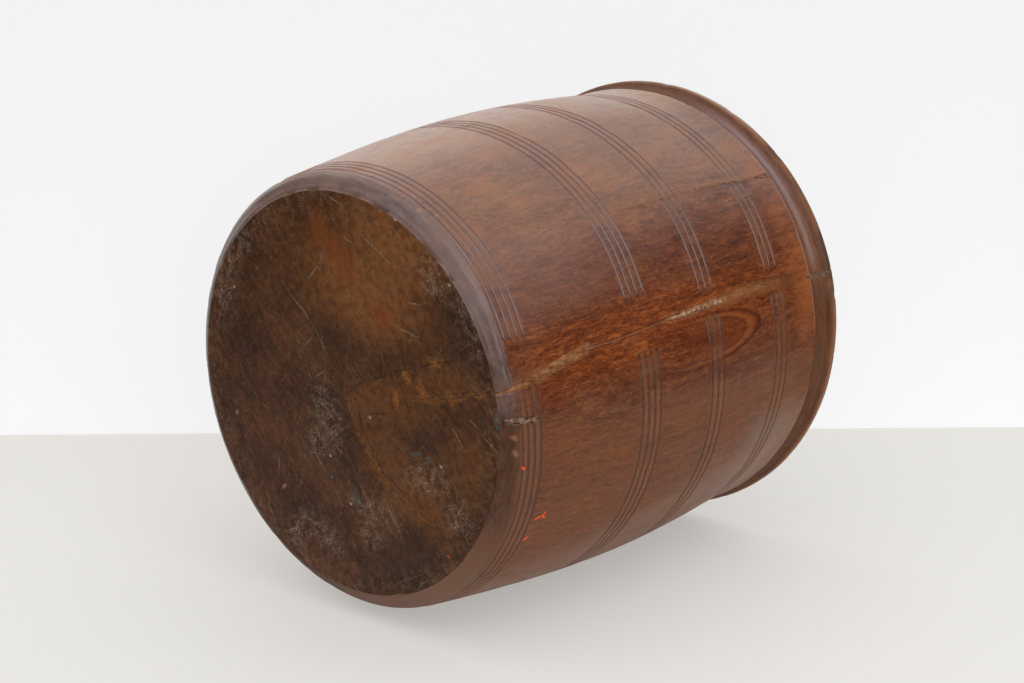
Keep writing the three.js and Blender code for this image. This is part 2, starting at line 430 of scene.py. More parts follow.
def start_tree(name, **labels):
    """A Geometry Nodes tree with named inputs of each kind: the tree, its inputs by name and its output."""
    tree = bpy.data.node_groups.new(name, "GeometryNodeTree")
    for kind, names in labels.items():
        for label in names:
            tree.interface.new_socket(label, in_out="INPUT", socket_type="NodeSocket" + kind)
    tree.interface.new_socket("Geometry", in_out="OUTPUT", socket_type="NodeSocketGeometry")
    first = put(tree, "NodeGroupInput")
    return tree, {socket.name: Field(socket) for socket in first.outputs}, put(tree, "NodeGroupOutput")


def split(vector, kind="ShaderNodeSeparateXYZ"):
    """The three numbers of a vector or a colour."""
    return [Field(socket) for socket in put(vector.tree, kind, {0: vector}).outputs]


def followed(value, points, handle):
    """A number that follows a drawn curve through these points, which lie between nought and one."""
    made = put(value.tree, "ShaderNodeFloatCurve", {"Value": value})
    line = made.mapping.curves[0]
    for at, level in points[1:-1]:
        line.points.new(at, level)
    line.points[0].location = points[0]
    line.points[-1].location = points[-1]
    for point in line.points:
        point.handle_type = handle
    made.mapping.update()
    return Field(made.outputs[0])


lathe, given, lathe_out = start_tree(
    "turned_on_the_lathe",
    Geometry=["Profile"],
    Int=["Steps Round"],
    Float=[
        "Groove Depth", "Wall Sink", "Crack Angle", "Sink Spread Left", "Sink Spread Right",
        "Sanded Half Angle", "Sanded Fade",
    ],
    Material=["Side Material", "Lip Material", "Base Material", "Inside Material"],
)
ring_count = {"Geometry": given["Profile"]}
rings = get(lathe, "GeometryNodeAttributeDomainSize", ring_count, "Point Count", component="MESH")
sheet_size = {"Size X": 1.0, "Size Y": 1.0, "Vertices X": given["Steps Round"] + 1, "Vertices Y": rings}
whole = get(lathe, "GeometryNodeMeshGrid", sheet_size, "Mesh")
sheet_x, sheet_y, _ = split(get(lathe, "GeometryNodeInputPosition"))
ring_number = ((sheet_y + 0.5) * (rings - 1)).sum("ROUND")

# Steps round the axis lie closer together where the cracks are, and wider on the far side
first_angle = -180.0
step_spans = (
    (-90.0, 2.25), (-23.0, 1.34), (-18.5, 0.25), (4.5, 1.15),
    (16.5, 0.24), (28.5, 0.48), (90.0, 1.23), (180.0, 2.25),
)
span_ends = np.array([first_angle] + [end for end, _ in step_spans])
span_steps = [round(span / step) for span, (_, step) in zip(np.diff(span_ends), step_spans)]
steps_round = sum(span_steps)
step_shares = np.cumsum([0, *span_steps]) / steps_round
step_points = list(zip(step_shares.tolist(), ((span_ends - first_angle) / 360).tolist()))
degrees = followed(sheet_x + 0.5, step_points, "VECTOR") * 360 + first_angle


def of_ring(kind, value):
    """What the profile holds at this ring."""
    index = {"Geometry": given["Profile"], "Index": ring_number, "Value": value}
    return get(lathe, "GeometryNodeSampleIndex", index, data_type=kind, domain="POINT")


def named(tree, name, kind="FLOAT"):
    """What a mesh or a curve carries under this name."""
    return get(tree, "GeometryNodeInputNamedAttribute", {"Name": name}, data_type=kind)


def stored(geometry, name, value):
    """A mesh or a curve with a number stored on its points under this name."""
    values = {"Geometry": geometry, "Name": name, "Value": value}
    return get(geometry.tree, "GeometryNodeStoreNamedAttribute", values, data_type="FLOAT", domain="POINT")


def mixed(share, first, second):
    """The first number, the second one or something between them, by a share."""
    return get(share.tree, "ShaderNodeMix", {"Factor": share, "A": first, "B": second}, data_type="FLOAT")


profile_x, _, profile_z = split(of_ring("FLOAT_VECTOR", get(lathe, "GeometryNodeInputPosition")))
away = degrees - given["Crack Angle"]
left_of_crack = away.sum("LESS_THAN", 0)
share = away / mixed(left_of_crack, given["Sink Spread Right"], given["Sink Spread Left"])
pulled_in = (share * share * -1).sum("EXPONENT")
sanded_wide = given["Sanded Half Angle"] + given["Sanded Fade"]
sanded_far = abs(away) / of_ring("FLOAT", named(lathe, "sanding"))
groove_left = sanded_far.ramp(given["Sanded Half Angle"], sanded_wide)
groove_here = of_ring("FLOAT", named(lathe, "groove")) * groove_left
ridge_here = of_ring("FLOAT", named(lathe, "ridge")) * groove_left
sink_limit = given["Wall Sink"].sum("MINIMUM", profile_x * 0.2)
sink_here = of_ring("FLOAT", named(lathe, "sink")) * pulled_in * sink_limit
radius_here = profile_x - groove_here * given["Groove Depth"] - sink_here
turned = degrees.sum("RADIANS")
new_place = get(
    lathe,
    "ShaderNodeCombineXYZ",
    {"X": radius_here * turned.sum("SINE"), "Y": radius_here * turned.sum("COSINE") * -1, "Z": profile_z},
)
# The numbers that the material needs are stored before the sheet is bent round
whole = stored(whole, "groove", groove_here)
whole = stored(whole, "ridge", ridge_here)
whole = stored(whole, "zone", of_ring("FLOAT", named(lathe, "zone")))
whole = get(lathe, "GeometryNodeSetPosition", {"Geometry": whole, "Position": new_place})
whole = get(lathe, "GeometryNodeMergeByDistance", {"Geometry": whole, "Distance": 0.00001})
whole = get(lathe, "GeometryNodeRealizeInstances", {"Geometry": whole})
for label, test, limit in (
    ("Side Material", "GREATER_THAN", -0.3),
    ("Lip Material", "LESS_THAN", -0.3),
    ("Base Material", "GREATER_THAN", 0.8),
    ("Inside Material", "LESS_THAN", -0.8),
):
    coat = {"Geometry": whole, "Selection": named(lathe, "zone").sum(test, limit), "Material": given[label]}
    whole = get(lathe, "GeometryNodeSetMaterial", coat)
lathe.links.new(whole.socket, lathe_out.inputs[0])


def noted(place, scale, detail=2.0, roughness=0.5, output=0):
    """A cloudy pattern from nought to one, of numbers or of vectors."""
    values = {"Vector": place, "Scale": scale, "Detail": detail, "Roughness": roughness}
    return get(place.tree, "ShaderNodeTexNoise", values, output)


def drawn_out(place, along, across=1.0):
    """The same place with its heights squeezed, so that a pattern on it runs along the grain."""
    return get(place.tree, "ShaderNodeMapping", {"Vector": place, "Scale": (across, across, along)})


def shaken(place, scatter, reach):
    """The same place moved sideways by up to this reach, along a scattered vector."""
    off = vectors("MULTIPLY", vectors("SUBTRACT", scatter, (0.5, 0.5, 0.5)), (reach, reach, 0.0))
    return vectors("ADD", place, off)


def greatest(first, *others):
    """The greatest of several numbers."""
    for other in others:
        first = first.sum("MAXIMUM", other)
    return first


def marks(place, half_width, softness, *paths):
    """Tapered strokes along paths of points in millimetres, for scratches, stains and flecks, in one mask."""
    edge = half_width + softness
    strokes = []
    for path in paths:
        for (start_x, start_y), (end_x, end_y) in zip(path, path[1:]):
            frame_of_stroke = {
                "Vector": place,
                "Location": ((start_x + end_x) / 2, (start_y + end_y) / 2, 0.0),
                "Rotation": (0.0, 0.0, math.atan2(end_y - start_y, end_x - start_x)),
                "Scale": (math.hypot(end_x - start_x, end_y - start_y) / 2 + edge, edge, 1.0),
            }
            local = get(place.tree, "ShaderNodeMapping", frame_of_stroke, vector_type="TEXTURE")
            strokes.append(
                get(place.tree, "ShaderNodeTexGradient", {0: local}, "Fac", gradient_type="SPHERICAL")
            )
    return greatest(*strokes).ramp(0.0, softness / edge)


scratch_bend = 0.004


def strewn(place, cell, half_width, half_length, lean, spread, share):
    """Short straight scratches, one in a share of the cells of a loose net, in millimetres and degrees."""
    values = {"Vector": place, "Scale": 1 / cell, "Randomness": 1.0}
    net = put(place.tree, "ShaderNodeTexVoronoi", values, voronoi_dimensions="2D").outputs
    off_x, off_y, _ = split(vectors("SUBTRACT", place, net["Position"]))
    turn_chance, there_chance, strength_chance = split(Field(net["Color"]), "ShaderNodeSeparateColor")
    turn_by = (turn_chance * spread + (lean - spread / 2)).sum("RADIANS")
    cosine = turn_by.sum("COSINE")
    sine = turn_by.sum("SINE")
    along = off_x * cosine + off_y * sine
    across = off_y * cosine - off_x * sine + along * along * scratch_bend
    line = abs(across).falling(0.0, half_width)
    ends = abs(along).falling(half_length * 0.4, half_length)
    return line * ends * there_chance.sum("LESS_THAN", share) * strength_chance.ramp(0.0, 1.0, 0.35, 1.0)


def place_on(material):
    """The place that the patterns of a material lie on."""
    return get(material.node_tree, "ShaderNodeTexCoord", output="Object")


def round_and_up(place):
    """Degrees round the axis from the front of the bowl, and millimetres above its base."""
    x, y, z = split(place)
    return x.sum("ARCTAN2", y * -1).sum("DEGREES"), z * per_mm


def carried(material, name):
    """A number that the mesh carries under this name."""
    return get(material.node_tree, "ShaderNodeAttribute", output="Fac", attribute_name=name)


def finished(material, colour, roughness, specular, relief, strength, depth):
    """A material's shader, with its relief pressed in by a strength and a depth in millimetres."""
    tree = material.node_tree
    bump = get(tree, "ShaderNodeBump", {"Strength": strength, "Distance": depth * mm, "Height": relief})
    skin = {"Base Color": colour, "Roughness": roughness, "Specular IOR Level": specular, "Normal": bump}
    put(tree, "ShaderNodeOutputMaterial", {"Surface": get(tree, "ShaderNodeBsdfPrincipled", skin)})


# Side wood: red-brown, oiled and handled, with its fibres along the axis. The grooves hold old dust under a
# painted sky sheen.
MULTIPLIED = "MULTIPLY"
side_wood = start_material("turned_side")
on_side = place_on(side_wood)
angle_round, height_up = round_and_up(on_side)
bent_grain = shaken(on_side, noted(drawn_out(on_side, 0.7), 56, 4, output=1), 0.0105)
clouds = noted(drawn_out(on_side, 0.35), 30, 4, 0.6)
wander = clouds * 16 - 8
loose_angle = angle_round + wander
# Where a change from side to side would leave a seam at the back, this angle runs back to nought there
sided_angle = loose_angle * abs(angle_round).falling(95, 176)
streaks = noted(drawn_out(bent_grain, 0.05), 560, 6, 0.66)
fibres = noted(drawn_out(bent_grain, 0.09), 2100, 2, 0.6)
flecks = noted(drawn_out(bent_grain, 0.22), 900, 4, 0.62)
mottle = noted(drawn_out(on_side, 0.45), 70, 5, 0.65)
figure = streaks * 0.36 + fibres * 0.32 + (flecks * 0.18 + mottle * 0.14)
red_brown = figure.tones(
    (0.40, (0.070, 0.0175, 0.0062)),
    (0.47, (0.128, 0.032, 0.0100)),
    (0.53, (0.192, 0.051, 0.0145)),
    (0.60, (0.290, 0.096, 0.0290)),
)
pale_brown = figure.tones(
    (0.40, (0.138, 0.056, 0.025)), (0.50, (0.192, 0.081, 0.037)), (0.60, (0.245, 0.110, 0.053))
)
even_brown = figure.tones(
    (0.41, (0.115, 0.029, 0.005)), (0.50, (0.170, 0.047, 0.008)), (0.59, (0.225, 0.068, 0.013))
)
# The upper side: paler wood under painted sheen
pale_side = sided_angle.falling(-34, -8)
dark_band = loose_angle.between(-20, -14, -4, 2)
wood_colour = coats(
    red_brown,
    # The upper side is paler and browner, partly its own tone and partly painted sheen from the sky, with a
    # greyer painted sheen towards the top; the lower side is more even
    (pale_side * 0.85, pale_brown),
    (sided_angle.ramp(-74, -42, 0.75, 0.0), (0.410, 0.240, 0.155)),
    (sided_angle.ramp(19, 31) * 0.85, even_brown),
    # Orange and dark patches in the paler wood
    (pale_side * mottle.ramp(0.50, 0.62) * 0.4, (0.285, 0.100, 0.034)),
    (pale_side * mottle.falling(0.34, 0.48) * 0.4, (0.68, 0.60, 0.62), MULTIPLIED),
    # Dark mottled wood between the second crack and the sanded band
    (dark_band * mottle.ramp(0.36, 0.58, 1.0, 0.3) * 0.45, (0.78, 0.68, 0.78), MULTIPLIED),
    (dark_band * flecks.ramp(0.50, 0.62) * 0.35, (0.42, 0.38, 0.44), MULTIPLIED),
)

# The path of the main crack, as an angle for each height
crack_path = (
    (0.0, 11.7), (7.6, 11.3), (18.9, 10.2), (30.9, 9.1), (40.4, 8.2), (50.1, 7.4), (62.0, 7.4), (74.1, 7.3),
    (84.8, 7.0), (96.7, 6.7), (121.6, 6.5), (138.6, 6.5), (152.9, 6.4), (170.8, 6.7), (194.8, 7.7),
    (213.6, 8.9), (226.0, 8.9),
)
angle_range = 30.0
crack_points = [(height / bowl_height, angle / angle_range) for height, angle in crack_path]
from_crack = angle_round - followed(height_up / bowl_height, crack_points, "AUTO") * angle_range
loose_from_crack = wander * 0.45 + from_crack

# Orange-brown band that was sanded back round the main crack
sanded = loose_from_crack.between(-9.0, -4.5, 4.0, 12.0) * height_up.between(8, 32, 168, 208)
sanded_brown = figure.tones(
    (0.41, (0.068, 0.0125, 0.0024)),
    (0.47, (0.140, 0.0280, 0.0044)),
    (0.53, (0.225, 0.0490, 0.0075)),
    (0.59, (0.340, 0.0900, 0.0165)),
)
# Eye of the grain: a long hairpin of dark and orange lines beside the crack, open towards the foot
eye_height, eye_angle = 105.0, 14.4
eye_half_height, eye_half_angle = 59.0, 6.1
eye_up = ((height_up - eye_height) / eye_half_height).sum("MAXIMUM", 0.0).sum("POWER", 2.8)
eye_round = (angle_round - eye_angle) / eye_half_angle
eye_far = (eye_up + eye_round * eye_round).sum("SQRT") + (mottle * 0.26 - 0.13)
eye_run = height_up.ramp(96, 136)
inner_lines = (eye_far * 52).sum("SINE").ramp(0.1, 1.0) * eye_far.falling(0.60, 0.74)
under_eye = loose_angle.between(17.5, 20.0, 22.0, 27) * height_up.between(45, 75, 150, 175)
# Masks of painted sheen: sky reflection near the foot, and table reflection on the lower side and along its
# edge
foot_sky_sheen = loose_angle.between(-30, -20, -6, 3) * height_up.between(6, 14, 40, 92)
low_sheen = loose_angle.between(30, 52, 70, 95) * height_up.between(150, 182, 196, 209)
low_reach = height_up * 0.17 + loose_angle
edge_sheen = low_reach.ramp(64, 90) * loose_angle.between(30, 45, 74, 110) * clouds.ramp(0.34, 0.60, 0.5, 1.0)
pores = noted(drawn_out(bent_grain, 0.10), 2900, 2, 0.5).ramp(0.58, 0.70)
wood_colour = coats(
    wood_colour,
    (sanded * 0.8, sanded_brown),
    (eye_far.ramp(0.9, 1.05, 0.55, 0.0) * eye_run, (0.185, 0.040, 0.0066)),
    (eye_far.between(0.92, 0.98, 1.00, 1.07) * eye_run * 0.75, (0.40, 0.28, 0.26), MULTIPLIED),
    (eye_far.between(0.68, 0.73, 0.74, 0.80) * eye_run * 0.55, (0.50, 0.38, 0.34), MULTIPLIED),
    (inner_lines * eye_run * 0.40, (0.50, 0.38, 0.34), MULTIPLIED),
    (eye_far.falling(0.16, 0.42) * eye_run * 0.60, (0.48, 0.40, 0.40), MULTIPLIED),
    (eye_far.between(0.78, 0.84, 0.86, 0.92) * eye_run * 0.45, (0.330, 0.098, 0.022)),
    (under_eye * 0.35, (0.55, 0.44, 0.42), MULTIPLIED),
    # Painted sheen: a hazy sky reflection near the foot, and painted table reflections on the lower side near
    # the neck and along the lower edge
    (foot_sky_sheen * 0.34, (0.200, 0.104, 0.078)),
    (low_sheen * 0.4, (0.250, 0.150, 0.105)),
    (edge_sheen * 0.52, (0.340, 0.215, 0.150)),
    # Pores: short dark dashes along the grain
    (pores * 0.5, (0.42, 0.36, 0.36), MULTIPLIED),
)

# Foot, arris and grooves: dust where the tool cut in and worn wood where it stood out, with painted shade
# down the groove walls and painted sheen on the foot and the arris
on_foot = height_up.falling(3.6, 8.6)
turned_away = on_foot * abs(angle_round).ramp(105, 135)
foot_lines = noted(drawn_out(on_side, 7.0), 130, 4, 0.62)
dark_foot = foot_lines.tones((0.36, (0.030, 0.010, 0.004)), (0.62, (0.090, 0.034, 0.013)))
# The foot: lilac-grey on its front and upper side is painted sky reflection over the wood, dark brown lower
# down and browner at the top; a paler band is a painted highlight, and the back is darkened as painted shade
foot_colour = coats(
    foot_lines.tones((0.34, (0.076, 0.043, 0.036)), (0.64, (0.168, 0.107, 0.091))),
    (sided_angle.ramp(14, 27), dark_foot),
    (sided_angle.ramp(42, 64), (0.150, 0.068, 0.034)),
    (loose_angle.between(-52, -34, -14, 2) * 0.5, (0.215, 0.148, 0.134)),
    (loose_angle.between(-125, -95, -66, -48) * 0.45, (0.094, 0.050, 0.037)),
    (turned_away * 0.8, (0.040, 0.018, 0.010)),
)
on_flare = height_up.between(neck_height - 6, arris_height - 3.0, arris_height - 0.2, arris_height + 0.4)
flare_worn = mottle.ramp(0.42, 0.60, 0.3, 1.0) * loose_angle.between(-34, -2, 8, 34)
on_arris = height_up.between(arris_height - 0.7, arris_height - 0.1, arris_height + 0.2, arris_height + 0.7)
groove_mask = carried(side_wood, "groove")
groove_floor = groove_mask.ramp(0.30, 0.70)
# Groove floors: old dust, paler and lilac-grey on the upper side as painted sky reflection, browner lower
# down
groove_dust_and_sheen = coats((0.185, 0.156, 0.160), (sided_angle.ramp(4, 22), (0.092, 0.066, 0.055)))
# A pale line round the edge of the base, partly wear and partly painted highlight, strongest on the upper
# side
base_edge = height_up.falling(0.35, 0.9) * flecks.ramp(0.48, 0.60) * sided_angle.ramp(-50, -15, 0.75, 0.12)
wood_colour = coats(
    wood_colour,
    (on_foot * mottle.ramp(0.32, 0.62, 0.95, 0.72), foot_colour),
    (on_flare * flare_worn * 0.7, (0.330, 0.098, 0.026)),
    # The arris: a paler line, partly wear and partly painted highlight, and a painted lilac sky reflection
    # along it on the upper side
    (on_arris * mottle.ramp(0.42, 0.58) * 0.7, (0.32, 0.19, 0.12)),
    (on_arris * loose_angle.between(-46, -30, 2, 10) * 0.7, (0.300, 0.225, 0.225)),
    (carried(side_wood, "ridge") * mottle.ramp(0.40, 0.60, 0.1, 0.7), (0.225, 0.072, 0.023)),
    # Painted shade darkening the walls of the grooves
    (groove_mask.between(0.02, 0.12, 0.25, 0.6) * 0.6, (0.040, 0.018, 0.011)),
    (groove_floor * clouds.ramp(0.35, 0.62, 0.35, 0.95), groove_dust_and_sheen),
    (base_edge, (0.250, 0.165, 0.110)),
)

# Filler smeared over the wood beside the main crack, and the hairline where no filling shows
aside = abs(flecks * 2.6 + (from_crack - 1.3))
tan_smear = aside.falling(0.5, 2.0) * height_up.between(2, 10, 46, 54) * fibres.ramp(0.34, 0.60, 0.3, 1.0)
foot_dust = abs(from_crack).falling(0.8, 5.0) * height_up.falling(4, 17) * flecks.ramp(0.38, 0.60, 0.1, 0.7)
pale_run = height_up.between(92, 108, 136, 146)
pale_smear = aside.falling(0.3, 1.3) * pale_run * fibres.ramp(0.36, 0.58, 0.2, 1.0)
brown_smear = aside.falling(0.8, 2.3) * height_up.between(132, 146, 172, 206)
hair_run = height_up.between(40, 50, 168, 196)
hair = abs(from_crack).falling(0.06, 0.26) * hair_run * flecks.ramp(0.36, 0.56, 0.35, 1.0)
from_second = flecks * 0.8 + (angle_round + 20.4)
second_run = height_up.between(132, 165, 206, 211)
wood_colour = coats(
    wood_colour,
    (tan_smear * 0.75, (0.255, 0.098, 0.035)),
    (foot_dust, (0.185, 0.098, 0.058)),
    (pale_smear * 0.65, (0.34, 0.170, 0.088)),
    (brown_smear * 0.75, (0.230, 0.083, 0.024)),
    (abs(from_crack).falling(0.25, 0.75) * hair_run * 0.5, (0.50, 0.42, 0.40), MULTIPLIED),
    (hair * 0.8, (0.235, 0.100, 0.043)),
    # Second crack: paler on its upper side as painted light on the higher edge, and a dark line under it as
    # painted shade below the step
    (from_second.between(-2.2, -0.3, 0.0, 0.5) * second_run * 0.3, (0.255, 0.110, 0.046)),
    (from_second.between(0.2, 0.5, 0.7, 1.6) * second_run * 0.55, (0.45, 0.38, 0.40), MULTIPLIED),
)

# Flecks of old paint near the foot
arc_per_degree = 1.92
flat_wall = {"X": fibres * 1.6 + (angle_round * arc_per_degree - 0.8), "Y": flecks * 1.6 + (height_up - 0.8)}
spread_out = get(side_wood.node_tree, "ShaderNodeCombineXYZ", flat_wall)


def round_the_wall(*places):
    """Points of a path given as heights and angles, laid out flat in millimetres."""
    return [(angle * arc_per_degree, height) for height, angle in places]


orange_paint = marks(
    spread_out, 0.35, 0.6,
    round_the_wall((8.0, 31.3), (8.6, 31.6)),
    round_the_wall((26.0, 46.2), (24.5, 46.9), (26.4, 47.8)),
    round_the_wall((24.0, 47.0), (20.5, 47.6)),
    round_the_wall((21.4, 53.0), (19.4, 54.2)),
)
pale_paint = marks(
    spread_out, 0.3, 1.3,
    round_the_wall((3.4, 22.8), (4.4, 23.6)),
    round_the_wall((3.8, 26.6), (4.6, 27.8)),
    round_the_wall((5.4, -40.2), (6.0, -39.2)),
)
wood_colour = coats(
    wood_colour, (orange_paint, (0.96, 0.082, 0.010)), (pale_paint * 0.75, (0.30, 0.14, 0.07))
)
side_roughness = mottle.ramp(0.3, 0.7, 0.25, 0.33) + sided_angle.ramp(14, 36, 0.0, 0.30)
side_roughness = side_roughness + (greatest(on_foot, groove_floor) * -0.07 + pores * 0.12)
side_relief = streaks * 0.5 + fibres * 0.3 + (pores * -0.35 + hair * -0.8)
side_shine = turned_away * -0.31 + 0.41
finished(side_wood, wood_colour, side_roughness, side_shine, side_relief, strength=0.3, depth=0.3)

# Lip wood: the hollow and the bead are duller than the wall, with turned lines, dark stains and a rubbed top.
lip_wood = start_material("worn_lip")
on_lip = place_on(lip_wood)
lip_round, lip_up = round_and_up(on_lip)
lip_clouds = noted(on_lip, 60, 5, 0.62)
lip_stains = noted(on_lip, 55, 4, 0.6)
lip_lines = noted(drawn_out(on_lip, 9.0), 110, 4, 0.6)
lip_grain = noted(drawn_out(on_lip, 0.3), 1100, 3, 0.62)
lip_figure = lip_lines * 0.42 + (lip_clouds * 0.33 + lip_grain * 0.25)
in_hollow = lip_up.between(arris_height + 0.3, arris_height + 1.4, root_height - 2.4, root_height + 0.4)
# How strongly each side of the hollow is painted darker as shade
hollow_shade_side = (lip_round.between(-130, -95, -52, -30) + lip_round.between(6, 14, 110, 178)) * 0.5 + 0.25
# The narrow band in the hollow that carries a painted streak of reflection
hollow_glint_band = lip_up.between(root_height - 4.8, root_height - 3.5, root_height - 3.0, root_height - 1.7)
on_bead = lip_up.ramp(root_height - 0.5, root_height + 2.0)
bead_root = lip_up.between(root_height - 1.6, root_height - 0.5, root_height, root_height + 1.0)
bead_top = lip_up.ramp(bead_middle - 0.6, bowl_height - 0.6)
bead_edge = lip_up.ramp(bead_middle - 1.9, bead_middle - 0.5)
lip_colour = coats(
    lip_figure.tones(
        (0.40, (0.105, 0.032, 0.010)), (0.49, (0.170, 0.056, 0.019)), (0.59, (0.235, 0.088, 0.034))
    ),
    # Painted shade, a painted sky reflection and a pale streak of painted reflection in the hollow
    (in_hollow * hollow_shade_side * lip_clouds.ramp(0.34, 0.6, 0.5, 1.0), (0.098, 0.040, 0.020)),
    (in_hollow * lip_round.between(-62, -40, -22, -4) * 0.4, (0.160, 0.104, 0.098)),
    (hollow_glint_band * lip_round.between(-52, -30, 1, 9) * 0.5, (0.300, 0.215, 0.210)),
    # The bead, painted shade in the crease at its root, its stains, its rubbed top and edge, and a painted
    # sheen on its edge on the upper side
    (on_bead * 0.55, (0.200, 0.078, 0.031)),
    (bead_root * 0.45, (0.045, 0.020, 0.011)),
    (on_bead * lip_stains.ramp(0.52, 0.68) * 0.6, (0.026, 0.019, 0.014)),
    (bead_top * lip_grain.ramp(0.40, 0.58) * 0.65, (0.290, 0.140, 0.070)),
    # Painted sheen along the bead's outer edge on the upper side
    (bead_edge * lip_round.between(-140, -105, -50, -24) * 0.6, (0.420, 0.290, 0.225)),
    (bead_edge * lip_round.between(6, 20, 58, 90) * 0.5, (0.330, 0.170, 0.095)),
    (on_bead * lip_round.between(-4, 0, 9, 12) * lip_clouds.ramp(0.36, 0.48) * 0.7, (0.040, 0.031, 0.022)),
)
lip_roughness = lip_clouds.ramp(0.3, 0.7, 0.38, 0.5)
lip_relief = lip_lines * 0.6 + lip_grain * 0.4
finished(lip_wood, lip_colour, lip_roughness, 0.22, lip_relief, strength=0.35, depth=0.4)

# Base wood: end grain, dark with dirt and use, scratched all over, with stains of ochre and old paint.
base_wood = start_material("end_grain_base")
base_mm = vectors("MULTIPLY", place_on(base_wood), (per_mm, per_mm, 0.0))
scratch_lean = -20.0
lean_back = {"Vector": base_mm, "Angle": math.radians(-scratch_lean)}
turned_base = get(base_mm.tree, "ShaderNodeVectorRotate", lean_back, rotation_type="Z_AXIS")
smudges = noted(base_mm, 0.028, 5, 0.6)
grime = noted(base_mm, 0.10, 6, 0.68)
specks = noted(base_mm, 0.75, 4, 0.65)
dusting = noted(base_mm, 1.1, 6, 0.72)
patches = noted(base_mm, 0.26, 5, 0.62)
rubbed = noted(vectors("MULTIPLY", turned_base, (0.07, 1.0, 0.0)), 0.9, 5, 0.7)
base_colour = (smudges * 0.30 + patches * 0.20 + (rubbed * 0.24 + dusting * 0.26)).tones(
    (0.42, (0.0260, 0.0094, 0.0034)),
    (0.48, (0.0520, 0.0190, 0.0066)),
    (0.52, (0.0800, 0.0298, 0.0106)),
    (0.58, (0.1400, 0.0580, 0.0230)),
)
# Growth rings show faintly on one side
ring_far = vectors("LENGTH", vectors("ADD", base_mm, (-18.0, -4.0, 0.0)), output="Value") + grime * 16
growth = (ring_far * 0.75).sum("SINE").ramp(-0.2, 1.0)
ring_side = split(base_mm)[1].ramp(-25, 50)
# Strokes waver, because they are drawn on places that are shaken by some millimetres
scatter = noted(base_mm, 0.14, 5, 0.65, output=1)
wavering = shaken(base_mm, scatter, 12.0)
shaky = shaken(base_mm, scatter, 3.0)
# Washes and stains: a paler brown on the upper part, partly a stain and partly painted light, red spots,
# brown along the cracks, and ochre in blotches
light_wash = marks(wavering, 4.0, 30.0, ((-66, -48), (-40, -66)), ((-58, -12), (-24, -56)))
reddish = marks(
    shaky, 1.4, 8.0,
    ((-74, -21), (-70, -18)), ((-57, -29), (-51, -27)), ((-28, -41), (-26, -40)), ((-64, -24), (-62, -23)),
)
brown_wash = marks(
    wavering, 4.0, 14.0,
    ((6, -10), (14, -44)), ((26, -10), (46, -30)), ((6, -40), (12, -74)), ((52, -24), (64, -34)),
    ((34, -62), (50, -58)),
)
dark_wash = marks(wavering, 4.0, 18.0, ((74, -20), (78, 8)))
curved_stain = marks(
    wavering, 0.3, 3.4,
    (
        (1.2, -5.4), (9.9, -3.0), (17.8, -3.0), (25.9, -4.0), (35.6, -7.0), (46.0, -13.6), (55.0, -20.7),
        (62.4, -26.5),
    ),
)
ochre = marks(
    wavering, 0.4, 2.6,
    ((9.3, -42.7), (12.7, -55.8), (14.3, -60.4), (14.6, -67.4), (15.8, -75.6), (16.7, -83.8)),
    ((3.2, -32.6), (11.9, -31.2)), ((-2.0, -43.5), (4.4, -43.3)), ((3.2, -49.4), (10.7, -49.4)),
    ((-1.6, -56.0), (-0.6, -66.0)),
)
dark_lines = marks(
    shaky, 0.05, 0.8,
    ((-3.5, -10.7), (-3.1, -18.4), (-2.7, -33.6), (-2.1, -48.3), (-0.8, -64.0), (1.2, -76.4)),
    ((3.0, -7.6), (17.8, -5.2), (35.6, -9.2), (55.0, -23.0)), ((10.1, -10.3), (13.6, -26.8)),
    ((84.3, -13.4), (84.8, -13.0)),
)
# Dusty scuffs, and dust along the edge
scuffed = marks(
    wavering, 1.0, 10.0,
    ((-11.7, 11.4), (10.3, 20.6)), ((-1.7, 8.3), (21.6, 18.1)), ((10.0, 20.0), (19.0, 31.3)),
    ((42.6, -23.8), (45.9, -45.4)), ((62.6, -43.0), (65.2, -43.5)), ((55.3, 67.4), (47.4, 48.0)),
    ((53.7, 42.8), (64.1, 37.6)), ((43.2, 16.7), (58.6, -3.5)), ((61.7, 9.8), (62.0, 12.0)),
    ((-76.6, 44.0), (-69.9, 49.9)), ((-81.4, 36.9), (-80.0, 30.0)), ((-63.2, 55.8), (-60.0, 58.0)),
    ((-39.5, -73.6), (-28.3, -78.9)), ((-20.4, -85.7), (-1.1, -90.4)),
)
dust = scuffed * patches.ramp(0.40, 0.62) * dusting.ramp(0.40, 0.66)
edge_far = vectors("LENGTH", base_mm, output="Value")
rim_dust = edge_far.ramp(74, 90) * patches.ramp(0.46, 0.64) * dusting.ramp(0.42, 0.62)
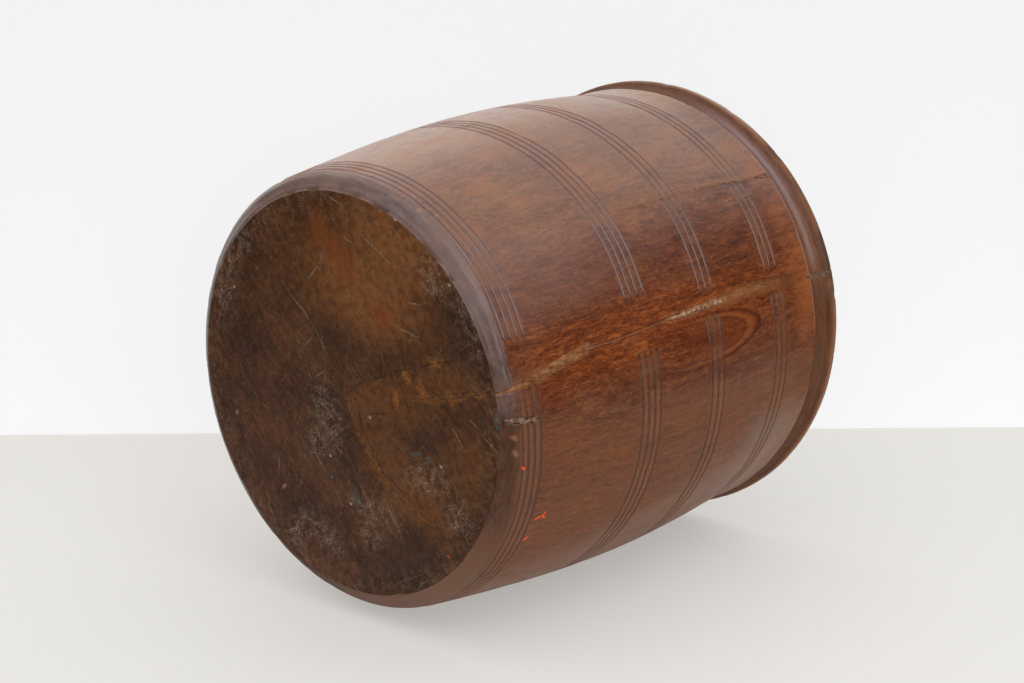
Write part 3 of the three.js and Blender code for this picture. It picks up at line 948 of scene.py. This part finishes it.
# Scratches: long drawn ones where the picture shows them, and shorter ones strewn over the whole face
long_scratches = marks(
    shaky, 0.03, 0.46,
    ((-54.1, 13.4), (-32.9, 3.7), (-17.1, 1.1)), ((-31.1, 18.1), (-26.6, 15.0), (-29.9, 5.7)),
    ((-16.1, 17.8), (-11.4, 15.9), (-13.8, 4.9)), ((-86.3, -27.9), (-75.7, -38.9)),
    ((-64.4, -41.3), (-50.1, -52.1)), ((-65.1, -31.6), (-58.5, -38.4)), ((-56.5, -48.3), (-41.5, -57.6)),
    ((-65.2, -19.2), (-57.6, -12.1), (-52.9, 1.0)), ((-29.5, -55.6), (-25.2, -66.0)),
    ((22.6, -57.3), (40.0, -63.0)), ((23.8, -69.7), (32.8, -75.5)), ((29.8, -73.3), (45.5, -81.3)),
    ((-4.3, 18.4), (5.8, 10.6)), ((16.3, 31.2), (32.1, 26.1)), ((18.8, 15.1), (25.0, 11.8)),
    ((14.1, 53.6), (27.0, 61.6)), ((43.2, -4.2), (72.0, -8.4)), ((64.7, -43.0), (56.0, -53.7)),
    ((-35.8, -69.2), (-27.4, -71.7)), ((-35.8, -73.9), (-23.8, -75.6)), ((-21.9, -44.1), (-10.4, -61.7)),
    ((42.9, 53.9), (54.9, 42.1)),
)
long_scratches = long_scratches * specks.ramp(0.38, 0.58, 0.25, 1.0)
short_scratches = greatest(
    strewn(shaky, 9.0, 0.26, 6.0, scratch_lean, 70, 0.6),
    strewn(shaky, 17.0, 0.34, 12.0, scratch_lean + 55, 110, 0.75),
    strewn(shaky, 6.5, 0.24, 4.5, scratch_lean + 90, 60, 0.5),
    strewn(shaky, 4.0, 0.24, 2.2, 30, 180, 0.45),
)
scratch_crowd = greatest(grime.ramp(0.45, 0.62, 0.12, 0.9), scuffed)
scuff_scratches = greatest(
    strewn(shaky, 3.0, 0.26, 2.6, 80, 50, 0.5), strewn(base_mm, 1.5, 0.34, 0.8, 40, 180, 0.5)
)
scuff_share = scuff_scratches * scuffed.ramp(0.0, 0.9) * patches.ramp(0.42, 0.60, 0.1, 1.0)
# Flecks of old paint and pale specks
teal = marks(
    shaky, 0.2, 1.6,
    ((26.5, -85.6), (30.0, -84.0), (35.2, -84.3)), ((31.7, -29.9), (33.5, -35.8)),
    ((36.2, -39.4), (36.8, -39.8)), ((31.6, 24.8), (32.2, 24.2)), ((41.2, 14.6), (48.8, 11.1)),
)
orange_flecks = marks(
    shaky, 0.2, 0.6,
    ((70.4, -65.4), (68.8, -67.9)), ((78.2, -31.9), (78.6, -32.3)), ((85.5, -35.5), (85.9, -36.3)),
)
pale_specks = marks(
    base_mm, 0.15, 0.75,
    ((-63.1, 48.1), (-62.7, 47.8)), ((-62.7, -65.6), (-62.2, -66.0)), ((-29.5, -83.4), (-29.0, -83.8)),
    ((12.0, -12.2), (12.4, -12.4)), ((46.0, 18.0), (46.4, 17.6)), ((23.0, 21.0), (23.4, 20.6)),
    ((40.6, -45.0), (41.0, -45.4)),
)
oval_spots = marks(base_mm, 0.5, 0.9, ((30.0, 57.6), (30.8, 60.0)), ((-9.0, 74.4), (-8.4, 75.2)))
base_colour = coats(
    base_colour,
    (growth * ring_side * smudges.ramp(0.36, 0.60) * 0.5, (0.098, 0.030, 0.012)),
    (light_wash * patches.ramp(0.36, 0.62, 0.5, 1.0) * 0.9, (0.255, 0.092, 0.026)),
    (reddish * dusting.ramp(0.36, 0.60, 0.45, 1.0) * 0.85, (0.205, 0.048, 0.008)),
    (brown_wash * patches.ramp(0.36, 0.60, 0.35, 1.0) * 0.7, (0.150, 0.050, 0.011)),
    (dark_wash * 0.55, (0.034, 0.014, 0.006)),
    (curved_stain * specks.ramp(0.40, 0.58) * 0.6, (0.185, 0.062, 0.012)),
    (ochre * specks.ramp(0.40, 0.56) * 0.9, (0.290, 0.098, 0.014)),
    (dark_lines * specks.ramp(0.35, 0.52) * 0.8, (0.011, 0.006, 0.004)),
    (dust * 0.65, (0.250, 0.180, 0.130)),
    (rim_dust * 0.5, (0.200, 0.130, 0.085)),
    (short_scratches * scratch_crowd * 0.68, (0.250, 0.165, 0.105)),
    (scuff_share * 0.75, (0.36, 0.285, 0.225)),
    (long_scratches * 0.7, (0.32, 0.23, 0.165)),
    (teal * specks.ramp(0.44, 0.58) * 0.8, (0.060, 0.145, 0.155)),
    (orange_flecks, (0.55, 0.075, 0.014)),
    (pale_specks * 0.8, (0.46, 0.37, 0.29)),
    (oval_spots * 0.6, (0.30, 0.165, 0.10)),
)
base_roughness = grime.ramp(0.3, 0.7, 0.42, 0.60) + dust * 0.2
scratch_depth = greatest(short_scratches, long_scratches)
base_relief = grime * 0.5 + dusting * 0.5 + (rubbed * 0.35 + scratch_depth * -0.45)
finished(base_wood, base_colour, base_roughness, 0.14, base_relief, strength=0.5, depth=0.7)

# Inside wood: the same block, less handled, with faint rings left by the hollowing tool.
inside_wood = start_material("hollowed_inside")
on_inside = place_on(inside_wood)
inside_z = split(on_inside)[2]
inside_streaks = noted(drawn_out(on_inside, 0.08), 160, 7, 0.62)
inside_dust = noted(on_inside, 40, 5, 0.6)
tool_rings = (inside_z * 2600 + inside_dust * 4).sum("SINE")
inside_colour = coats(
    (inside_streaks * 0.6 + inside_dust * 0.4).tones(
        (0.36, (0.070, 0.026, 0.011)), (0.50, (0.120, 0.046, 0.019)), (0.66, (0.200, 0.088, 0.038))
    ),
    (inside_z.ramp(0.018, 0.09, 0.5, 0.0), (0.16, 0.105, 0.066)),
)
inside_roughness = inside_dust.ramp(0.3, 0.7, 0.5, 0.65)
inside_relief = inside_streaks + tool_rings * 0.15
finished(inside_wood, inside_colour, inside_roughness, 0.24, inside_relief, strength=0.4, depth=0.6)


def grown(tree, source_mesh, name, inputs):
    """A plain mesh object made by a Geometry Nodes tree from a starting mesh."""
    starter = bpy.data.objects.new(name, source_mesh)
    scene.collection.objects.link(starter)
    modifier = starter.modifiers.new(name, "NODES")
    modifier.node_group = tree
    sockets = {item.name: item.identifier for item in tree.interface.items_tree if item.in_out == "INPUT"}
    for label, value in inputs.items():
        modifier[sockets[label]] = value
    evaluated = starter.evaluated_get(bpy.context.evaluated_depsgraph_get())
    plain = bpy.data.meshes.new_from_object(evaluated)
    starter.modifiers.remove(modifier)
    starter.data = plain
    plain.name = name
    return starter


def faced_outwards(piece):
    """All faces of a closed piece turned outwards and shaded smoothly."""
    work = bmesh.new()
    work.from_mesh(piece.data)
    bmesh.ops.recalc_face_normals(work, faces=work.faces)
    work.to_mesh(piece.data)
    work.free()
    for polygon in piece.data.polygons:
        polygon.use_smooth = True


bowl = grown(
    lathe,
    profile_mesh,
    "turned_bowl",
    {
        "Steps Round": steps_round,
        "Groove Depth": groove_depth * mm,
        "Wall Sink": wall_sink * mm,
        "Crack Angle": crack_angle,
        "Sink Spread Left": sink_spread_left,
        "Sink Spread Right": sink_spread_right,
        "Sanded Half Angle": sanded_half_angle,
        "Sanded Fade": sanded_fade,
        "Side Material": side_wood,
        "Lip Material": lip_wood,
        "Base Material": base_wood,
        "Inside Material": inside_wood,
    },
)

# Cracks and chips that the fillings lie in: height, angle and half width along each one
foot_rows = (
    (0.4, 11.6, 0.5), (4.0, 11.4, 0.7), (7.7, 11.2, 1.2), (19.0, 10.1, 1.6), (31.0, 8.9, 2.0),
    (40.5, 7.7, 2.6), (45.0, 7.1, 2.6), (50.2, 6.5, 0.6),
)
pale_rows = ((96.5, 6.6, 0.4), (107.4, 6.5, 1.0), (121.6, 6.5, 1.3), (132.0, 6.5, 1.6), (138.8, 6.5, 1.1))
brown_rows = ((138.6, 6.5, 1.1), (146.0, 6.4, 1.7), (155.0, 6.4, 1.9), (165.0, 6.5, 1.6), (173.0, 6.8, 0.4))
rim_rows = ((209.3, 8.4, 0.9), (213.0, 8.5, 1.5), (217.0, 8.6, 1.6), (226.0, 8.8, 1.2))
second_rows = (
    (100.3, -20.8, 0.2), (125.0, -20.7, 0.3), (157.3, -21.0, 0.35), (185.5, -20.5, 0.4), (201.4, -20.0, 0.4)
)
lip_chip_rows = ((202.6, -20.0, 0.5), (206.0, -19.9, 1.1), (210.0, -19.8, 1.3), (213.0, -19.8, 0.6))
foot_chip_rows = (
    (1.6, 18.6, 0.4), (4.5, 19.0, 1.5), (8.1, 19.4, 1.7), (11.2, 19.8, 0.8), (13.6, 20.0, 1.3),
    (16.8, 20.4, 0.4),
)
# The rows of the base cracks have x, y and half width
base_crack_rows = (
    (9.6, -36.5, 0.8), (12.7, -48.8, 1.3), (13.1, -58.4, 1.4), (15.0, -72.0, 1.2), (16.2, -80.7, 1.0)
)
base_curved_rows = (
    (3.2, -1.8, 0.8), (15.5, -0.7, 1.1), (25.1, -2.8, 1.3), (39.9, -9.1, 1.3), (50.0, -14.3, 1.1),
    (66.0, -29.6, 0.8),
)
wall_recess = 1.2
base_recess = 0.7
hairline_half, hairline_depth = 0.9, 0.06
second_crack_step = 0.06
uneven_depth, dent_depth, edge_chip_depth = 0.28, 0.35, 0.75
base_wave_height, base_ripple_height, base_chip_height = 0.42, 0.26, 0.55

bowl_mesh = bowl.data
places = np.empty(len(bowl_mesh.vertices) * 3)
bowl_mesh.vertices.foreach_get("co", places)
places = places.reshape(-1, 3) / mm
zones = np.empty(len(bowl_mesh.vertices))
bowl_mesh.attributes["zone"].data.foreach_get("value", zones)
far_out = np.hypot(places[:, 0], places[:, 1])
turned_to = np.degrees(np.arctan2(places[:, 0], -places[:, 1]))
up = places[:, 2]


def clouded(points, size, seed):
    """A smooth cloudy number from nought to one at each point, for marks of this size in millimetres."""
    return np.array([noise.noise((x / size + seed, y / size, z / size)) for x, y, z in points]) * 0.5 + 0.5


def sunk_along(rows, depth):
    """How deep the wall is cut along a crack, with rounded edges and ends."""
    heights_here, angles_here, halves_here = np.array(rows).T
    centre = np.interp(up, heights_here, angles_here)
    half = np.interp(up, heights_here, halves_here)
    off_line = np.abs(np.radians(turned_to - centre)) * far_out
    ends = smooth(heights_here[0] - 0.8, heights_here[0] + 0.6, up)
    ends = ends * (1 - smooth(heights_here[-1] - 0.6, heights_here[-1] + 0.8, up))
    return depth * (1 - smooth(half * 0.30, half * 0.85, off_line)) * ends


outside = (zones > -0.75) & (zones < 0.5) & (far_out > base_radius - 1.0)
inwards = np.zeros(len(places))
for rows in (foot_rows, pale_rows, brown_rows, lip_chip_rows, foot_chip_rows):
    inwards = np.maximum(inwards, sunk_along(rows, wall_recess))
inwards = np.maximum(inwards, sunk_along(rim_rows, wall_recess) * (far_out > bead_centre - 3.6))
hair_rows = [(height, angle, hairline_half) for height, angle in crack_path if 45 < height < 215]
inwards = np.maximum(inwards, sunk_along(hair_rows, hairline_depth))
# The wall stands a little lower below the second crack than above it
below_second = smooth(-20.9, -20.3, turned_to) * (1 - smooth(-19, -9, turned_to))
inwards += second_crack_step * below_second * smooth(130, 160, up) * (1 - smooth(205, 216, up))
# Hand turning and long use leave the wall slightly uneven
inwards += uneven_depth * clouded(places * (1, 1, 0.4), 21.0, 3.1) * smooth(0, 3, up)
inwards += dent_depth * smooth(0.62, 0.80, clouded(places, 9.0, 8.4)) * smooth(0, 4, up)
inwards = np.where(outside, inwards, 0)
# The edge of the base is knocked and chipped
knocks = smooth(0.50, 0.78, clouded(places * (1, 1, 0.2), 7.0, 5.5))
at_edge = smooth(base_radius - 4, base_radius - 0.5, far_out) * (1 - smooth(0.4, 2.6, up)) * (zones > -0.5)
inwards += edge_chip_depth * knocks * at_edge
closer = 1 - inwards / np.maximum(far_out, 1)
places[:, 0] *= closer
places[:, 1] *= closer


def near_path(rows):
    """How much of the cut along a crack in the base reaches each place."""
    best = np.zeros(len(places))
    for (x0, y0, half0), (x1, y1, half1) in zip(rows, rows[1:]):
        run_x, run_y = x1 - x0, y1 - y0
        t = ((places[:, 0] - x0) * run_x + (places[:, 1] - y0) * run_y) / (run_x**2 + run_y**2)
        t = np.clip(t, 0, 1)
        off_line = np.hypot(places[:, 0] - x0 - t * run_x, places[:, 1] - y0 - t * run_y)
        half = half0 + (half1 - half0) * t
        best = np.maximum(best, 1 - smooth(half * 0.6, half * 1.1, off_line))
    return best


on_base_face = (zones > 0.5) | ((zones > -0.5) & (up < base_round) & (far_out < base_radius + 0.2))
raised = base_wave_height * clouded(places, 17.0, 1.7) + base_ripple_height * clouded(places, 5.5, 6.2)
raised += base_chip_height * knocks * smooth(base_radius - 5, base_radius - 0.6, far_out)
raised += base_recess * np.maximum(near_path(base_crack_rows), near_path(base_curved_rows))
raised -= raised[on_base_face].min()
places[:, 2] += np.where(on_base_face, raised * (1 - smooth(0.2, base_round, up)), 0)

bowl_mesh.vertices.foreach_set("co", (places * mm).ravel())
bowl_mesh.update()
faced_outwards(bowl)
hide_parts("bowl_body")
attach(bowl, "root")

# Filling at the foot of the main crack: a tan, fibrous paste pressed into its widest part and smeared across.
# One rule makes every filling: a flat-topped bar follows its crack, ragged at the sides and lumpy on top.
section_sides = 22
path_step = 0.8
filling_step = 0.35
filler, pressed, filler_out = start_tree(
    "pressed_filler",
    Geometry=["Path"],
    Float=["Step", "Raggedness", "Ragged Length", "Crown", "Depth", "Lump Size", "Lump Height"],
    Material=["Material"],
)
path_curve = get(filler, "GeometryNodeMeshToCurve", {"Mesh": pressed["Path"]})
even_steps = {"Curve": path_curve, "Length": pressed["Step"]}
path_curve = get(filler, "GeometryNodeResampleCurve", even_steps, mode="LENGTH")
way_out = {"Curve": path_curve, "Normal": named(filler, "outward", "FLOAT_VECTOR")}
path_curve = get(filler, "GeometryNodeSetCurveNormal", way_out, mode="FREE")
filler_place = get(filler, "GeometryNodeInputPosition")
ragged = noted(filler_place, 1 / pressed["Ragged Length"], 3, 0.65)
ragged = (ragged - 0.5) * (pressed["Raggedness"] * 2) + 1.0
circle = {"Resolution": section_sides, "Radius": 1.0}
section = get(filler, "GeometryNodeCurvePrimitiveCircle", circle, mode="RADIUS")
section_x, section_y, _ = split(filler_place)
flattened = section_x * mixed(section_x.sum("GREATER_THAN", 0), pressed["Depth"], pressed["Crown"])
section = stored(section, "aside", abs(section_y))
flat_place = get(filler, "ShaderNodeCombineXYZ", {"X": flattened, "Y": section_y, "Z": 0.0})
section = get(filler, "GeometryNodeSetPosition", {"Geometry": section, "Position": flat_place})
width_here = named(filler, "half_width") * ragged
swept = {"Curve": path_curve, "Profile Curve": section, "Scale": width_here, "Fill Caps": True}
bar = get(filler, "GeometryNodeCurveToMesh", swept)
lumps = noted(filler_place, 1 / pressed["Lump Size"], 3, 0.6)
lump = {0: get(filler, "GeometryNodeInputNormal"), "Scale": (lumps - 0.5) * pressed["Lump Height"]}
lump = get(filler, "ShaderNodeVectorMath", lump, operation="SCALE")
bar = get(filler, "GeometryNodeSetPosition", {"Geometry": bar, "Offset": lump})
bar = get(filler, "GeometryNodeRealizeInstances", {"Geometry": bar})
bar = get(filler, "GeometryNodeSetMaterial", {"Geometry": bar, "Material": pressed["Material"]})
filler.links.new(bar.socket, filler_out.inputs[0])


def path_mesh(name, points, outwards, halves):
    """A line of points in millimetres, each with the way out of the wood and the half width there."""
    mesh = bpy.data.meshes.new(name)
    mesh.from_pydata([tuple(Vector(p) * mm) for p in points], links_of(points), [])
    ways = mesh.attributes.new("outward", "FLOAT_VECTOR", "POINT").data
    ways.foreach_set("vector", [value for way in outwards for value in way])
    widths = mesh.attributes.new("half_width", "FLOAT", "POINT").data
    widths.foreach_set("value", [half * mm for half in halves])
    return mesh


def path_on_wall(name, rows, stand, sway):
    """The path of a filling up the wall or the foot, a little proud of the wood or below it."""
    heights_here, angles_here, halves_here = np.array(rows).T
    points, outwards, halves = [], [], []
    for height in np.arange(heights_here[0], heights_here[-1] + 0.01, path_step):
        angle = np.interp(height, heights_here, angles_here)
        angle += sway * noise.noise((height / 4.5, angles_here[0], 2.0))
        off_crack = angle - crack_angle
        reach = sink_spread_left if off_crack < 0 else sink_spread_right
        sunk = wall_sink * sink_at(height) * math.exp(-((off_crack / reach) ** 2))
        radius = np.interp(height, outer_heights, outer_radii) - sunk + stand
        way = (math.sin(math.radians(angle)), -math.cos(math.radians(angle)), 0.0)
        points.append((radius * way[0], radius * way[1], height))
        outwards.append(way)
        halves.append(np.interp(height, heights_here, halves_here))
    return path_mesh(name, points, outwards, halves)


def filled(name, path, material, raggedness, ragged_length, crown, depth, lump_size, lump_height):
    """A filling along a path, as a closed piece. Its lengths and lumps are in millimetres."""
    inputs = {
        "Step": filling_step * mm,
        "Raggedness": raggedness,
        "Ragged Length": ragged_length * mm,
        "Crown": crown,
        "Depth": depth,
        "Lump Size": lump_size * mm,
        "Lump Height": lump_height * mm,
        "Material": material,
    }
    piece = grown(filler, path, name, inputs)
    faced_outwards(piece)
    return piece


def paste(
    name, stops, fleck_colour, fleck_share, roughness, wood,
    across=0.35, along=1.0, flecks_at=(0.56, 0.66), grain=1900,
):
    """A dry filling: smears across or along the crack, flecks, a rough skin, and wood at its thin edges."""
    made = start_material(name)
    here = place_on(made)
    smeared = drawn_out(here, along, across)
    smears = noted(smeared, 480, 5, 0.62)
    lumpy = noted(here, 330, 4, 0.6)
    grains = noted(smeared, grain, 3, 0.6)
    body = smears * 0.55 + lumpy * 0.45
    thin = carried(made, "aside") + (body * -2.2 + 1.1)
    colour = coats(
        body.tones(*stops),
        (grains.ramp(*flecks_at) * fleck_share, fleck_colour),
        (thin.ramp(0.5, 1.0, 0.0, 0.92), wood),
    )
    skin = lumpy.ramp(0.3, 0.7, roughness - 0.06, roughness + 0.06)
    finished(made, colour, skin, 0.2, smears * 0.6 + grains * 0.4, strength=0.25, depth=0.3)
    return made


outer = profile_table[profile_table[:, 4] == ON_WALL][: lip_start - base_rings - 1]
outer_heights, outer_radii = outer[:, 1], outer[:, 0]
tan_paste = paste(
    "tan_filler",
    ((0.38, (0.130, 0.038, 0.010)), (0.48, (0.215, 0.076, 0.024)), (0.60, (0.360, 0.155, 0.062))),
    fleck_colour=(0.46, 0.255, 0.130), fleck_share=0.45, roughness=0.62, wood=(0.175, 0.054, 0.014),
    across=1.0, along=0.22, grain=1700,
)
foot_fill = filled(
    "main_crack_foot_fill", path_on_wall("foot_fill_path", foot_rows, -0.15, 0.5), tan_paste,
    raggedness=0.7, ragged_length=4.5, crown=0.06, depth=0.8, lump_size=2.2, lump_height=0.14,
)
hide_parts("crack_fill_foot")
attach(foot_fill, "root")

# Pale filling higher up the main crack: a chalky paste, whitish where it has been rubbed.
# It was pressed in between the second and third groove groups, and stands slightly proud.
pale_paste = paste(
    "pale_filler",
    ((0.38, (0.170, 0.062, 0.023)), (0.48, (0.265, 0.115, 0.051)), (0.60, (0.46, 0.265, 0.155))),
    fleck_colour=(0.62, 0.48, 0.37), fleck_share=0.6, roughness=0.7, wood=(0.175, 0.052, 0.013),
    across=0.6, grain=1100,
)
pale_fill = filled(
    "main_crack_pale_fill", path_on_wall("pale_fill_path", pale_rows, -0.1, 0.5), pale_paste,
    raggedness=0.7, ragged_length=3.5, crown=0.08, depth=0.8, lump_size=1.6, lump_height=0.16,
)
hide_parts("crack_fill_pale")
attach(pale_fill, "root")

# Brown filling above it: a smoother grey-brown paste, wiped level with the wood.
# It runs out into a hairline below the fourth groove group.
brown_paste = paste(
    "brown_filler",
    ((0.36, (0.168, 0.056, 0.015)), (0.50, (0.245, 0.088, 0.025)), (0.64, (0.320, 0.128, 0.041))),
    fleck_colour=(0.36, 0.165, 0.066), fleck_share=0.25, roughness=0.55, wood=(0.195, 0.070, 0.020),
    across=1.0, along=0.35,
)
brown_fill = filled(
    "main_crack_brown_fill", path_on_wall("brown_fill_path", brown_rows, -0.15, 0.4), brown_paste,
    raggedness=0.5, ragged_length=5.0, crown=0.05, depth=0.8, lump_size=2.5, lump_height=0.12,
)
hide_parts("crack_fill_brown")
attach(brown_fill, "root")

# Filling at the rim: a grey-brown patch where the main crack crosses the hollow and the bead of the lip.
# Its path follows the turned lip, so the patch lies in the hollow and over the bead.
grey_paste = paste(
    "grey_filler",
    ((0.36, (0.090, 0.044, 0.025)), (0.50, (0.145, 0.074, 0.042)), (0.64, (0.215, 0.118, 0.070))),
    fleck_colour=(0.27, 0.165, 0.105), fleck_share=0.35, roughness=0.6, wood=(0.150, 0.056, 0.022),
)
rim_heights, rim_angles, rim_halves = np.array(rim_rows).T
rim_points, rim_ways, rim_widths = [], [], []
lip_line = profile_table[lip_start:lip_end, :2]
lip_runs = np.gradient(lip_line, axis=0)
rim_stand = -0.15
for (radius, height), (run_out, run_up) in zip(lip_line[1:-4], lip_runs[1:-4]):
    angle = math.radians(np.interp(height, rim_heights, rim_angles))
    length = math.hypot(run_out, run_up)
    out_share, up_share = run_up / length, -run_out / length
    reach = radius - wall_sink * sink_at(height) + rim_stand * out_share
    rim_points.append((reach * math.sin(angle), -reach * math.cos(angle), height + rim_stand * up_share))
    rim_ways.append((out_share * math.sin(angle), -out_share * math.cos(angle), up_share))
    rim_widths.append(np.interp(height, rim_heights, rim_halves))
rim_fill = filled(
    "rim_crack_fill", path_mesh("rim_fill_path", rim_points, rim_ways, rim_widths), grey_paste,
    raggedness=0.7, ragged_length=2.5, crown=0.08, depth=0.5, lump_size=1.8, lump_height=0.3,
)
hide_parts("rim_fill")
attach(rim_fill, "root")

# Filling of the second crack: a thin pale line of paste up the upper wall, as far as the lip.
# The wood stands a little lower on one side of it.
line_paste = paste(
    "pale_line_filler",
    ((0.36, (0.125, 0.048, 0.019)), (0.50, (0.185, 0.078, 0.033)), (0.62, (0.26, 0.125, 0.060))),
    fleck_colour=(0.36, 0.21, 0.12), fleck_share=0.3, roughness=0.65, wood=(0.190, 0.070, 0.026),
)
second_fill = filled(
    "second_crack_line", path_on_wall("second_fill_path", second_rows, -0.12, 0.5), line_paste,
    raggedness=0.8, ragged_length=4.0, crown=0.25, depth=0.9, lump_size=1.5, lump_height=0.3,
)
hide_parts("second_crack_fill")
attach(second_fill, "root")

# Filled chip at the lip: pale paste with dark bits.
# It lies where the second crack meets the arris under the hollow.
chip_paste = paste(
    "chip_filler",
    ((0.36, (0.090, 0.040, 0.021)), (0.48, (0.160, 0.078, 0.044)), (0.60, (0.25, 0.145, 0.092))),
    fleck_colour=(0.030, 0.018, 0.012), fleck_share=0.8, roughness=0.7, wood=(0.120, 0.048, 0.020),
    flecks_at=(0.58, 0.64),
)
lip_chip_fill = filled(
    "lip_chip_patch", path_on_wall("lip_chip_path", lip_chip_rows, -0.3, 0.5), chip_paste,
    raggedness=0.8, ragged_length=1.6, crown=0.1, depth=0.6, lump_size=1.2, lump_height=0.4,
)
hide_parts("lip_chip_fill")
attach(lip_chip_fill, "root")

# Filled chip across the foot grooves: pale lumps of paste.
# They are smeared over the bevel and the first grooves.
foot_chip_paste = paste(
    "foot_chip_filler",
    ((0.36, (0.110, 0.050, 0.028)), (0.48, (0.200, 0.110, 0.068)), (0.60, (0.34, 0.22, 0.15))),
    fleck_colour=(0.48, 0.34, 0.25), fleck_share=0.5, roughness=0.68, wood=(0.080, 0.030, 0.011),
    across=1.0,
)
foot_chip_fill = filled(
    "foot_chip_patch", path_on_wall("foot_chip_path", foot_chip_rows, -0.15, 0.9), foot_chip_paste,
    raggedness=0.9, ragged_length=1.7, crown=0.12, depth=0.8, lump_size=1.0, lump_height=0.25,
)
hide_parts("foot_chip_fill")
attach(foot_chip_fill, "root")

# Fillings in the base: ochre paste in the radial crack that leads to the main crack, and in a curved one.
# Both lie just below the face that the bowl stands on.
ochre_paste = paste(
    "ochre_filler",
    ((0.36, (0.045, 0.016, 0.005)), (0.50, (0.125, 0.045, 0.010)), (0.64, (0.250, 0.098, 0.020))),
    fleck_colour=(0.030, 0.015, 0.008), fleck_share=0.6, roughness=0.6, wood=(0.060, 0.022, 0.007),
    across=1.0,
)
base_fill_stand = 0.62
for name, node, rows in (
    ("base_radial_fill", "base_crack_fill", base_crack_rows),
    ("base_curved_fill", "base_crack_fill_curved", base_curved_rows),
):
    points = [(x, y, base_fill_stand) for x, y, _ in rows]
    halves = [half for _, _, half in rows]
    base_fill = filled(
        name, path_mesh(name + "_path", points, [(0.0, 0.0, -1.0)] * len(rows), halves), ochre_paste,
        raggedness=0.7, ragged_length=5.0, crown=0.12, depth=0.6, lump_size=2.0, lump_height=0.35,
    )
    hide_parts(node)
    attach(base_fill, "root")
